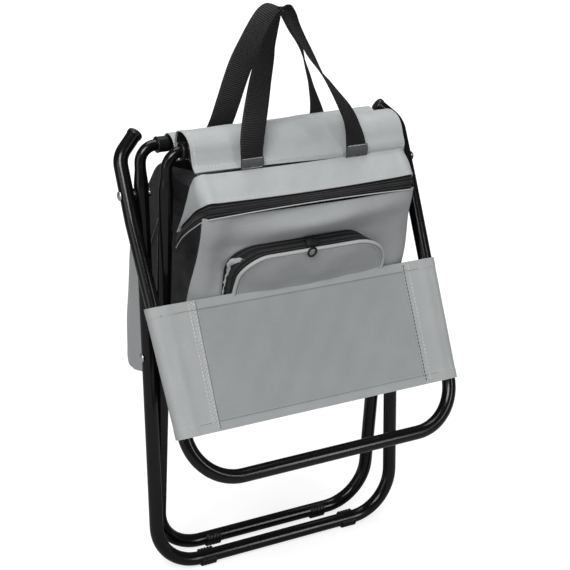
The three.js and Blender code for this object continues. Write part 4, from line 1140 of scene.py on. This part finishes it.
def main_zip():
    """The tape between the cover and the front panel: slightly hollow, with a ridge under the coil and a
    groove along each edge."""
    v = np.linspace(0, 1, 18)[:, None, None]
    grooves = 1.5 * bump(v, 0.1, 0.07) + 0.8 * bump(v, 0.92, 0.06)
    rise = 0.7 * bump(v, 0.5, 0.12) - 0.9 * np.sin(np.pi * v) - grooves - 0.2
    return cover_low_line[None] * (1 - v) + zip_low_line[None] * v + zip_out[None] * rise


label(blend_up(cloth("main_zip_tape_cloth", main_zip(), 0.9, zip_tape)), "main_zip_tape")


def cord_along(name, path, radius, out, sides=10):
    """A thin round edging along a path."""
    return closed_sweep(name, swept(path, circle(np.full(len(path), radius), sides), out), edge_tape)


def coil_along(name, line, across, out, apart, grain):
    """A zip's coil: a row of slanted grains at each side of a line, apart from it in the across direction. A
    grain is its length, width and height."""
    rows = [beads(line + unit(across) * apart * way, out, 1.6, *grain, turn=0.95 * way) for way in (-1, 1)]
    return label(joined(name, rows, zip_coil))


coil_line = (cover_low_line + zip_low_line) / 2 + zip_out * 0.35
coil_across = zip_low_line - cover_low_line
blend_up(coil_along("main_zip_coil", coil_line, coil_across, zip_out, 1.2, (3.0, 1.2, 1.5)))
lower_edge = even_line(zip_low_line, 2.0)
at_edge = np.linspace(0, 1, len(lower_edge))
edge_out = read_off(at_edge, np.linspace(0, 1, ROUND_STEPS), zip_out)
label(blend_up(cord_along("front_binding", lower_edge, 0.62, edge_out)))
sew("cover_stitches", [(cover_grid[29] + zip_out * 1.1, zip_out)], None, lid_thread, 3.8, 2.8, 0.6, 0.45)
for which, share in (("upper", 0.22), ("lower", 0.78)):
    lift = 0.5 - 0.9 * math.sin(math.pi * share)
    row = cover_low_line * (1 - share) + zip_low_line * share + zip_out * lift
    sew(f"main_zip_{which}_stitches", [(row, zip_out)], None, tape_thread, 2.6, 2.2, 0.6, 0.5)


def upper_gusset(sign, half):
    """Charcoal cloth that closes each side above the zip: from the cover's rear edge in to a deep crease,
    and from the crease out to the back's edge."""
    v = np.linspace(0, 1, 50)[:, None]
    front = smooth_line(cover_top[:5], 50) * [-1, 1, 1] + [-1.4, 1.2, 0]
    crease = np.concatenate([96 + 5 * np.sin(3 * v), -4 + 5 * v, 150 + 55 * v], 1)
    rear = np.concatenate([0 * v + BAG_X - 3, 22 + 12 * (1 - v), 150 + 62 * v], 1)
    grid, fold = between(front, crease, 30) if half == "front" else between(crease, rear, 30)
    grid[..., 0] += fold * (1.8 * crumple(grid[..., 1], grid[..., 2], 75, 30) - 3.0)
    grid[..., 0] *= sign
    return grid


for side, sign in SIDES:
    for half in ("front", "rear"):
        piece = cloth(f"upper_gusset_{side}_{half}", upper_gusset(sign, half), 0.9, sheen_charcoal)
        side_blend(piece)
        label(piece)


# Front pocket. Its rim on the panel and the mouth of its face are outlines, as arch() takes them.

POCKET_LOW = 72.0
RIM = (-94.2, 85.1, 140.2, 31.0, 39.0)
MOUTH = (-81.5, 109.5, 132.8, 31.0, 50.0)


def on_front(x, z, out):
    """A place on the front panel, out millimetres in front of it along its own slope."""
    slope = np.gradient(FRONT_CURVE[:, 0], FRONT_CURVE[:, 1])
    lean_here = np.interp(z, FRONT_CURVE[::-1, 1], slope[::-1])
    n = unit(np.stack([0 * lean_here, -np.ones_like(lean_here), lean_here], -1))
    on_cloth = np.stack([x, depth_on(FRONT_CURVE, z) - 0.8 - front_puff(x, z), z + 0 * x], -1)
    return on_cloth + n * np.asarray(out, float)[..., None]


def pocket_depth(z):
    """How far the pocket's face stands off the panel: 12.2 mm at its top and 2.4 mm behind the band."""
    return 2.4 + 9.8 * ease((z - POCKET_LOW) / (MOUTH[2] - POCKET_LOW) * 0.95)


def arch(outline, inset=0.0, count=150):
    """An outline [left, right, top, left corner, right corner] in x and z, drawn in by an inset: up one
    side, round a corner arc, across, round the other corner and down."""
    left, right, top, first, second = np.array(outline) + np.array([1, -1, -1, -1, -1]) * inset
    angle = np.linspace(0, np.pi / 2, 24)
    rise = np.column_stack([left + first * (1 - np.cos(angle)), top - first * (1 - np.sin(angle))])
    fall = np.column_stack([right - second * (1 - np.sin(angle)), top - second * (1 - np.cos(angle))])
    line = even_line(np.vstack([[[left, POCKET_LOW]], rise, fall, [[right, POCKET_LOW]]]), 1.0)
    at = travelled(line)
    return read_off(np.linspace(0, at[-1], count), at, line)


def pocket_line(share, inset, lift):
    """A line between the pocket's rim on the panel, share 0, and the mouth of its face, share 1; lift is a
    share of the pocket's depth and a distance."""
    line = arch(RIM, inset) * (1 - share) + arch(MOUTH, inset) * share
    return on_front(line[:, 0], line[:, 1], pocket_depth(line[:, 1]) * lift[0] + lift[1])


def pocket_face():
    """The pocket's face: arches that shrink towards the middle of its foot, crowned by 3.4 mm and softly
    dented."""
    outer = arch(MOUTH, 1.0)
    middle = (MOUTH[0] + MOUTH[1]) / 2
    share = 1 - np.linspace(0, 1, 46)[:, None]
    x = middle + (outer[:, 0] - middle) * share
    z = POCKET_LOW + (outer[:, 1] - POCKET_LOW) * (0.02 + 0.98 * share)
    s = 1 - share
    crown = 3.4 * np.sin(np.clip(s * 1.6, 0, 1) * np.pi / 2) * ease((z - POCKET_LOW) / 26)
    crown = crown + 0.8 * crumple(x, z, 91, 48) * ease(s * 4) * ease((z - POCKET_LOW) / 20)
    return on_front(x, z, pocket_depth(z) + crown)


fasten(cloth("pocket_front", pocket_face(), 0.9, front_cloth), ROOT, "pocket_face")

outer_rim = pocket_line(0.0, 0.0, (0.0, 0.6))
upper_rim = pocket_line(0.45, 0.0, (0.5, 0.0))
inner_rim = pocket_line(1.0, 0.2, (1.0, -0.9))
tape_grid = rows_through([outer_rim, upper_rim, inner_rim], 16)
fasten(cloth("pocket_zip_cloth", tape_grid, 0.8, zip_tape), ROOT, "pocket_zip_tape")
middle_row = tape_grid[8]
tape_out = surface_normals(tape_grid)[8]
if tape_out[75] @ [0.0, -1.0, 1.0] < 0:
    tape_out = -tape_out
coil_line, coil_across = middle_row + tape_out * 0.55, tape_grid[9] - middle_row
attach(coil_along("pocket_zip_coil", coil_line, coil_across, tape_out, 1.0, (2.6, 1.1, 1.3)), ROOT)
for which, row in (("outer", 3), ("inner", 12)):
    tape_seam = tape_grid[row] + tape_out * 0.5, tape_out
    sew(f"pocket_zip_{which}_stitches", [tape_seam], ROOT, tape_thread, 2.6, 2.2, 0.55, 0.45)

edge_x, edge_z = arch(MOUTH, 0.6).T
face_out = on_front(edge_x, edge_z, 1.0) - on_front(edge_x, edge_z, 0.0)
piping = cord_along("pocket_piping_cord", pocket_line(1.0, 0.6, (1.0, 0.6)), 2.1, face_out, sides=14)
fasten(piping, ROOT, "pocket_piping")
fine_piping = cord_along("pocket_inner_edging", pocket_line(1.0, 4.4, (1.0, 1.1)), 0.65, face_out)
fasten(fine_piping, ROOT)

# The crumpled binding at the pocket's left corner, as [x, z] on the panel
CORNER_STATIONS = np.array([(-93.6, 80), (-93.4, 92), (-92.2, 104), (-90.6, 113), (-90.8, 120),
                            (-88.4, 124.6), (-82.4, 126.8), (-75.0, 129.4), (-67.5, 131.6)])
binding_line = smooth_line(on_front(*CORNER_STATIONS.T, np.linspace(2.6, 6.6, 9)), 60)
wide = np.interp(np.linspace(0, 1, 60), [0, 0.4, 0.54, 0.66, 0.8, 1], [0.9, 1.0, 2.8, 3.4, 2.2, 0.5])
strip = swept(binding_line, circle(wide, 14) * [1, 0.3], (0, -0.93, 0.36))
strip = strip + 1.3 * crumple(strip[..., 0], strip[..., 2], 98, 5.5)[..., None] * [0.5, -0.6, 0.3]
fasten(closed_sweep("pocket_corner_binding", strip, front_cloth), ROOT)


# Zip sliders

def slider_body(centre, run, out, width, length, height):
    """A zip slider: a rounded block whose width falls from the shoulders to the tail."""
    s = np.linspace(-1, 1, 15)
    half = width / 2 * (1 - 0.35 * ease((s + 1) / 2)) * np.sqrt(np.clip(1 - np.abs(s) ** 6, 0.02, 1))
    angle = 2 * np.pi * np.arange(18) / 18
    round_about = np.stack([np.cos(angle), np.sin(angle)], -1)
    square = np.sign(round_about) * np.abs(round_about) ** 0.6
    run, out = unit(np.asarray(run, float)), unit(np.asarray(out, float))
    side = unit(np.cross(run, out))
    tall = height / 2 * np.sqrt(np.clip(1 - np.abs(s) ** 4, 0.04, 1))
    across, above = half[:, None] * square[:, 0], tall[:, None] * square[:, 1]
    middle = np.asarray(centre, float) + (s * length / 2)[:, None, None] * run
    return middle + across[..., None] * side + above[..., None] * out


def loop_ring(centre, a, b, radius, wire, turns=40):
    """A wire ring: a circle of the wire carried round centre + radius[0] a cos t + radius[1] b sin t."""
    t = 2 * np.pi * np.arange(turns)[:, None] / turns
    a, b = unit(np.asarray(a, float)), unit(np.asarray(b, float))
    spoke = np.cos(t) * a + np.sin(t) * b
    q = 2 * np.pi * np.arange(10)[:, None] / 10
    middle = np.asarray(centre, float) + radius[0] * np.cos(t) * a + radius[1] * np.sin(t) * b
    return middle[:, None] + wire * (np.cos(q) * spoke[:, None] + np.sin(q) * np.cross(a, b))


def torus(name, rings, material):
    """A closed ring from rings of points, the last joined to the first."""
    count, sides = rings.shape[:2]
    i, j = np.meshgrid(np.arange(count), np.arange(sides), indexing="ij")
    quads = np.stack([i * sides + j, i * sides + (j + 1) % sides, (i + 1) % count * sides + (j + 1) % sides,
                      (i + 1) % count * sides + j], -1).reshape(-1, 4)
    return build(name, rings.reshape(-1, 3), quads, [], material)


SLIDER_X = 2.5
slider_at = int(np.argmin(np.abs(middle_row[:, 0] - SLIDER_X) + 100 * (middle_row[:, 2] < 110)))
slider_seat, out_here = middle_row[slider_at], tape_out[slider_at]
body_rings = slider_body(slider_seat + out_here * 2.8, (1, 0, 0), out_here, 11.0, 16.5, 6.0)
pocket_slider = closed_sweep("pocket_slider", body_rings, slider_plastic)
fasten(pocket_slider, "pocket_zip", "pocket_zip_slider")
bridge = loop_ring(slider_seat + out_here * 4.6, (1, 0, 0), out_here, (3.0, 1.2), 0.7)
fasten(torus("pocket_slider_bridge", bridge, slider_plastic), "pocket_zip")
ring_x, ring_z = np.array([SLIDER_X - 1.5]), np.array([131.0])
ring_centre = on_front(ring_x, ring_z, pocket_depth(ring_z) + 3.4)[0]
down_face = unit(on_front(ring_x, ring_z - 6, 12.0)[0] - on_front(ring_x, ring_z, 12.0)[0])
pull_ring = loop_ring(ring_centre, (1, 0, 0), down_face, (5.0, 5.6), 1.15)
fasten(torus("pocket_pull", pull_ring, slider_plastic), "pocket_zip", "pocket_zip_ring")

# The main zip's slider runs on the straight stretch of its tape behind the right corner
main_run = unit(np.array([0, -29.0, 20.5]))
main_rings = slider_body((132.5, -32.5, 153.5), main_run, (1, 0, 0), 6.4, 9.5, 2.6)
fasten(closed_sweep("main_slider", main_rings, plastic), "main_zip", "main_zip_slider")
pull_path = np.array([(134.0, -30, 150.5), (134.3, -28.5, 146), (134.3, -27.5, 141), (134.2, -27, 136)])
tab = swept(smooth_line(pull_path, 16), circle(np.full(16, 1.0), 12) * [0.7, 2.4], (0, 1, 0))
fasten(closed_sweep("main_pull", tab, plastic), "main_zip", "main_zip_pull")


# Lining

def liner():
    """Foil tub inside the bag: its walls follow the front and back lines, and its section is a square with
    rounded corners, |x|⁶ + |y|⁶ = 1, crushed in small waves."""
    z = np.linspace(150, BAG_FLOOR + 4, 46)[:, None]
    front, rear = depth_on(front_line, z) + 3.5, depth_on(rear_line, z) - 5.0
    t = np.linspace(0, 2 * np.pi, 121)[None, :-1]
    side, depth = np.cos(t), np.sin(t)
    square = (np.abs(side) ** 6 + np.abs(depth) ** 6) ** (-1 / 6)
    x = 90.0 * side * square
    y = (front + rear) / 2 + (rear - front) / 2 * depth * square
    wave = 0.8 * crumple(x + y, z + 0 * x, 95, 30)
    return np.stack([x + wave * np.sign(side), y - wave * np.sign(depth), z + 0 * x], -1)


tub = liner()
outside = np.concatenate([tub, tub[-1:] * 0.5 + tub[-1:].mean(axis=1, keepdims=True) * 0.5])
inside = outside - unit(outside - outside.mean(axis=1, keepdims=True)) * 0.8
tub_rings = np.concatenate([outside[::-1], inside])
fasten(closed_sweep("foil_tub", tub_rings, foil), ROOT, "foil_liner")


# Webbing handles. A station is [x, y, z, turn of the webbing out of the loop's plane in degrees].

front_stations = [(-63.4, -57.2, 226, 0), (-63.3, -57, 233, 0), (-63.3, -56.6, 242.6, -4),
                  (-62.5, -55.4, 253, -14), (-57.4, -50.2, 272.9, -22), (-51.7, -45.5, 292.7, -14),
                  (-45.6, -40.5, 312.5, -3), (-37.9, -36, 335.3, 11), (-32.1, -33, 350.1, 25),
                  (-25.4, -30.5, 363.9, 35), (-19.8, -28.5, 373.6, 45), (-14.9, -27, 381.4, 60),
                  (-9.1, -26, 383.5, 80), (-4.1, -26, 378.4, 88), (-0.6, -26.5, 369.7, 90),
                  (5.6, -28.5, 355.8, 91), (13, -31, 341.7, 93), (19.7, -33.5, 328.9, 96),
                  (27, -36.5, 316.7, 104), (32.3, -38.5, 308.4, 110), (38.7, -41.5, 298.6, 119),
                  (44.2, -44.5, 289.3, 126), (50.1, -48, 279, 135), (55.4, -50.8, 269.4, 143),
                  (59.7, -54, 258, 153), (61.3, -57.4, 248.2, 163), (62.6, -59.2, 238.2, 172),
                  (64.3, -59.6, 226, 180)]
rear_stations = [(-63.4, 34.9, 221, 0), (-62.6, 34.9, 229, 0), (-60.8, 34.6, 236.6, -6),
                 (-57.1, 30.4, 249.6, -15), (-52.8, 20.6, 276.4, -26), (-48.5, 13.5, 300.9, -29),
                 (-42.7, 8.5, 322.3, -30), (-35.4, 5, 339.3, -34), (-25, 2, 360.1, -42),
                 (-17.2, 1, 372.4, -56), (-7.6, 1, 378.7, -78), (2.5, 1.5, 375.2, -90),
                 (9.5, 2.5, 363.7, -90), (18.1, 4, 348.6, -86), (26.5, 6, 334.4, -76),
                 (32.7, 8.5, 321.2, -66), (38.3, 11, 307.8, -61), (44.2, 14, 294.8, -56),
                 (49.3, 17.3, 281.6, -50), (55.5, 22.4, 267, -40), (60.7, 27.6, 255, -28),
                 (65, 32, 243.8, -14), (68.6, 34.6, 232, -4), (70.6, 34.9, 221, 0)]


def strap(stations, width=26.0, thickness=1.5):
    """Webbing along stations: a flat section with rounded edges, turned about the strap's own direction by
    the stations' turn, ribbed along its faces, and bowed a little across its width."""
    line = smooth_line(stations, 1500)
    path, turn = line[:, :3], np.radians(line[:, 3])[:, None]
    tangent = unit(np.gradient(path, axis=0))
    flat = unit(np.cross(tangent, np.broadcast_to([0.0, 1.0, 0.0], tangent.shape)))
    out = unit(np.cross(flat, tangent))
    side = flat * np.cos(turn) - out * np.sin(turn)
    face = unit(np.cross(side, tangent))
    w = np.linspace(-1, 1, 17)
    edge = np.sqrt(np.clip(1 - np.abs(w) ** 14, 0.05, 1)) * thickness / 2
    bow = 0.5 * (w**2 - 0.3)
    rib = 1 + 0.22 * np.sin(travelled(path) * 2 * np.pi / RIB)[:, None]
    front, back = bow + edge * rib, (bow - edge * rib)[:, ::-1]
    flat_way = np.concatenate([w, w[::-1]]) * width / 2
    depth = np.concatenate([front, back], axis=1)
    rings = path[:, None] + flat_way[None, :, None] * side[:, None] + depth[..., None] * face[:, None]
    girth = np.concatenate([(w + 1) * width / 2, ((w + 1) * width / 2)[::-1]]) * 0.001
    cloth_map = np.stack(np.meshgrid(girth, travelled(path) * 0.001), -1).reshape(-1, 2)
    return rings, np.vstack([cloth_map, cloth_map[:1], cloth_map[-1:]])


def handle(name, stations, node):
    """The strap with its ends held by the hem, measured as a cut sheet and baked as blend() does it; the
    node's solids are hidden."""
    rings, uv = strap(stations)
    measure_cut(name, rings[:, :17])
    piece = closed_sweep(name, rings, webbing, uv)
    blend(piece)
    label(piece, node)


handle("front_handle_strap", front_stations, "front_handle")
handle("rear_handle_strap", rear_stations, "rear_handle")


def handle_patch(name, x, line, out, body, node):
    """A small patch sewn over the end of the webbing, with two zigzags of stitches and a row along its upper
    and lower edges."""
    profile = smooth_line(line, 14)
    across = np.linspace(x - 13.2, x + 13.2, 24)
    grid = np.stack([np.column_stack([np.full(14, v), profile]) for v in across])
    out = np.asarray(out, float)
    grid = grid + out * (0.25 * crumple(grid[..., 0], grid[..., 2], 97, 9))[..., None]
    fasten(cloth(name, grid, 1.0, patch_cloth), body, node)
    out = unit(out)
    zigzags = []
    for low, high in ((0.12, 0.45), (0.55, 0.88)):
        share = np.where(np.arange(15) % 2, low, high)
        zig = read_off(share, np.linspace(0, 1, 14), profile)
        corners = np.column_stack([np.linspace(x - 12, x + 12, 15), zig]) + out * 0.75
        zigzags.append((even_line(corners, 0.8), out))
    sew(name + "_stitches", zigzags, body, dark_thread, 1.5, 1.35, 0.5, 0.45)
    run = np.linspace(x - 12.4, x + 12.4, 30)
    edges = [(np.column_stack([run, np.tile(profile[k], (30, 1))]) + out * 0.7, out) for k in (1, -2)]
    sew(name + "_edge_stitches", edges, body, thread, 2.0, 1.6, 0.6, 0.45)


FRONT_OUT, REAR_OUT = (0, -0.86, 0.5), (0, 1, 0)
left_patch_line = [(-57.4, 222.4), (-58.8, 226.2), (-59.1, 230.4), (-58.2, 234.6)]
right_patch_line = [(-59.2, 220.6), (-61.2, 224.6), (-61.6, 229.4), (-60.6, 234.6)]
rear_patch_line = [(36.6, 219), (36.6, 224), (36.6, 229)]
handle_patch("front_patch_left", -63.4, left_patch_line, FRONT_OUT, INNER, "front_handle_patch_left")
handle_patch("front_patch_right", 64.3, right_patch_line, FRONT_OUT, INNER, "front_handle_patch_right")
handle_patch("rear_patch_left", -63.4, rear_patch_line, REAR_OUT, OUTER, "rear_handle_patch_left")
handle_patch("rear_patch_right", 70.4, rear_patch_line, REAR_OUT, OUTER, "rear_handle_patch_right")


# Cut sheets: how each is held, and what it lies on or hangs from

SHEETS = {
    "band_centre": ("stretched", "backrest_tube"),
    "band_sleeve_left": ("stretched", "backrest_tube"),
    "band_sleeve_right": ("stretched", "backrest_tube"),
    "seat_front_loop": ("folded", "front_bar"),
    "front_loop_painted_shade": ("folded", "seat_front_loop"),
    "front_bar_wrap": ("folded", "front_bar"),
    "seat_rear_loop": ("folded", "rear_bar"),
    "seat_fold_front": ("hung", "seat_front_loop"),
    "seat_fold_rear": ("hung", "seat_rear_loop"),
    "padded_front": ("hung", "bag_cover_cloth"),
    "bag_back": ("hung", "seat_rear_loop"),
    "shoulder_left": ("hung", "bag_back"),
    "shoulder_right": ("hung", "bag_back"),
    "bag_floor": ("hung", "bag_back"),
    "bag_cover_cloth": ("draped", "seat_front_loop"),
    "main_zip_tape_cloth": ("stretched", "bag_cover_cloth"),
    "pocket_front": ("stretched", "padded_front"),
    "pocket_zip_cloth": ("stretched", "padded_front"),
    "front_handle_strap": ("folded", "seat_front_loop"),
    "rear_handle_strap": ("folded", "seat_rear_loop"),
    "front_patch_left": ("laid", "front_handle_strap"),
    "front_patch_right": ("laid", "front_handle_strap"),
    "rear_patch_left": ("laid", "rear_handle_strap"),
    "rear_patch_right": ("laid", "rear_handle_strap"),
}
for side, sign in SIDES:
    for half, lower, upper in ("front", "padded_front", "bag_cover_cloth"), ("rear", "bag_back", "bag_back"):
        SHEETS[f"gusset_{side}_{half}"] = ("folded", lower)
        SHEETS[f"upper_gusset_{side}_{half}"] = ("folded", upper)
for name, (held, carrier) in SHEETS.items():
    width, length, area = CUTS[name]
    piece, area = bpy.data.objects[name], min(area, width * length)


# Camera, floor and light

YAW, PITCH, ROLL = 0.50839, 0.376, 0.02268
eye = np.array([-0.736793, -1.345069, 0.940121])
look = np.array([math.sin(YAW) * math.cos(PITCH), math.cos(YAW) * math.cos(PITCH), -math.sin(PITCH)])
right = np.array([math.cos(YAW), -math.sin(YAW), 0.0])
upward = np.cross(right, look)
camera_x = math.cos(ROLL) * right + math.sin(ROLL) * upward
camera_y = math.cos(ROLL) * upward - math.sin(ROLL) * right
camera_data = bpy.data.cameras.new("camera")
camera_data.lens = 90.18
camera_data.sensor_width = 36.0
camera = bpy.data.objects.new("camera", camera_data)
bpy.context.collection.objects.link(camera)
axes = [[camera_x[k], camera_y[k], -look[k], eye[k]] for k in range(3)]
camera.matrix_world = Matrix(axes + [[0, 0, 0, 1]])
bpy.context.scene.camera = camera


def pale_floor():
    """A sheet 18 m wide. Its own light, which only the camera sees, is 0.76 near the stool and rises to 1
    from 0.7 m to 2.4 m away, so that it ends in white."""
    x, y = np.meshgrid([-9.0, 0.0, 9.0], [-9.0, 0.0, 9.0])
    grid = np.stack([x, y, 0 * x], -1).reshape(-1, 3)
    m = Finish("pale_floor")
    seen = m.add("ShaderNodeLightPath").outputs["Is Camera Ray"]
    at = m.at()
    away = m.add("ShaderNodeVectorMath", {0: at}, operation="LENGTH").outputs["Value"]
    paper = m.add("ShaderNodeBsdfDiffuse", {"Color": (0.4, 0.4, 0.4, 1)})
    strength = m.sum("MULTIPLY", seen, m.range(away, 0.7, 2.4, 0.76, 1.0))
    glow = m.add("ShaderNodeEmission", {"Color": (1, 1, 1, 1), "Strength": strength})
    both = m.add("ShaderNodeAddShader", {0: paper.outputs[0], 1: glow.outputs[0]})
    m.add("ShaderNodeOutputMaterial", {"Surface": both.outputs[0]})
    mesh = bpy.data.meshes.new("floor")
    mesh.from_pydata([tuple(p) for p in grid], [], [tuple(q) for q in grid_faces(3, 3)])
    floor = bpy.data.objects.new("floor", mesh)
    bpy.context.collection.objects.link(floor)
    mesh.materials.append(m.material)


pale_floor()


def softbox(name, at, toward, size, watts, card=False):
    """An area lamp at a place, facing another place. A card is only seen in glossy surfaces."""
    data = bpy.data.lights.new(name, "AREA")
    data.shape = "RECTANGLE"
    data.size, data.size_y = size
    data.energy = watts
    lamp = bpy.data.objects.new(name, data)
    bpy.context.collection.objects.link(lamp)
    lamp.visible_diffuse = not card
    way = unit(np.asarray(toward, float) - np.asarray(at, float))
    side = unit(np.cross(way, [0.0, 0.0, 1.0]))
    up = np.cross(side, way)
    lamp.matrix_world = Matrix([[side[k], up[k], -way[k], at[k]] for k in range(3)] + [[0, 0, 0, 1]])


softbox("key_softbox", (-1.5, -1.6, 2.3), (0, 0, 0.4), (1.3, 1.3), 60)
softbox("fill_softbox", (1.3, -2.5, 1.1), (0, 0, 0.35), (0.36, 1.3), 13)
softbox("top_softbox", (0.2, 0.5, 2.4), (0, 0, 0.3), (1.6, 1.6), 26)
softbox("left_card", (-2.3, -0.5, 0.8), (0, 0, 0.35), (1.3, 1.6), 9, card=True)


def studio_world():
    """White to the camera, dark to reflections and a plain soft grey to everything else."""
    world = bpy.data.worlds.new("studio")
    bpy.context.scene.world = world
    world.use_nodes = True
    tree = world.node_tree
    tree.nodes.clear()
    ray = tree.nodes.new("ShaderNodeLightPath")
    grounds = []
    for colour, strength in (((0.97, 0.985, 1.0, 1), 0.27), ((1, 1, 1, 1), 0.1), ((1, 1, 1, 1), 1.0)):
        ground = tree.nodes.new("ShaderNodeBackground")
        ground.inputs["Color"].default_value = colour
        ground.inputs["Strength"].default_value = strength
        grounds.append(ground.outputs[0])
    mixed = grounds[0]
    for kind, ground in (("Is Glossy Ray", grounds[1]), ("Is Camera Ray", grounds[2])):
        mix = tree.nodes.new("ShaderNodeMixShader")
        tree.links.new(ray.outputs[kind], mix.inputs[0])
        tree.links.new(mixed, mix.inputs[1])
        tree.links.new(ground, mix.inputs[2])
        mixed = mix.outputs[0]
    tree.links.new(mixed, tree.nodes.new("ShaderNodeOutputWorld").inputs[0])


studio_world()
bpy.context.scene.view_settings.view_transform = "Standard"
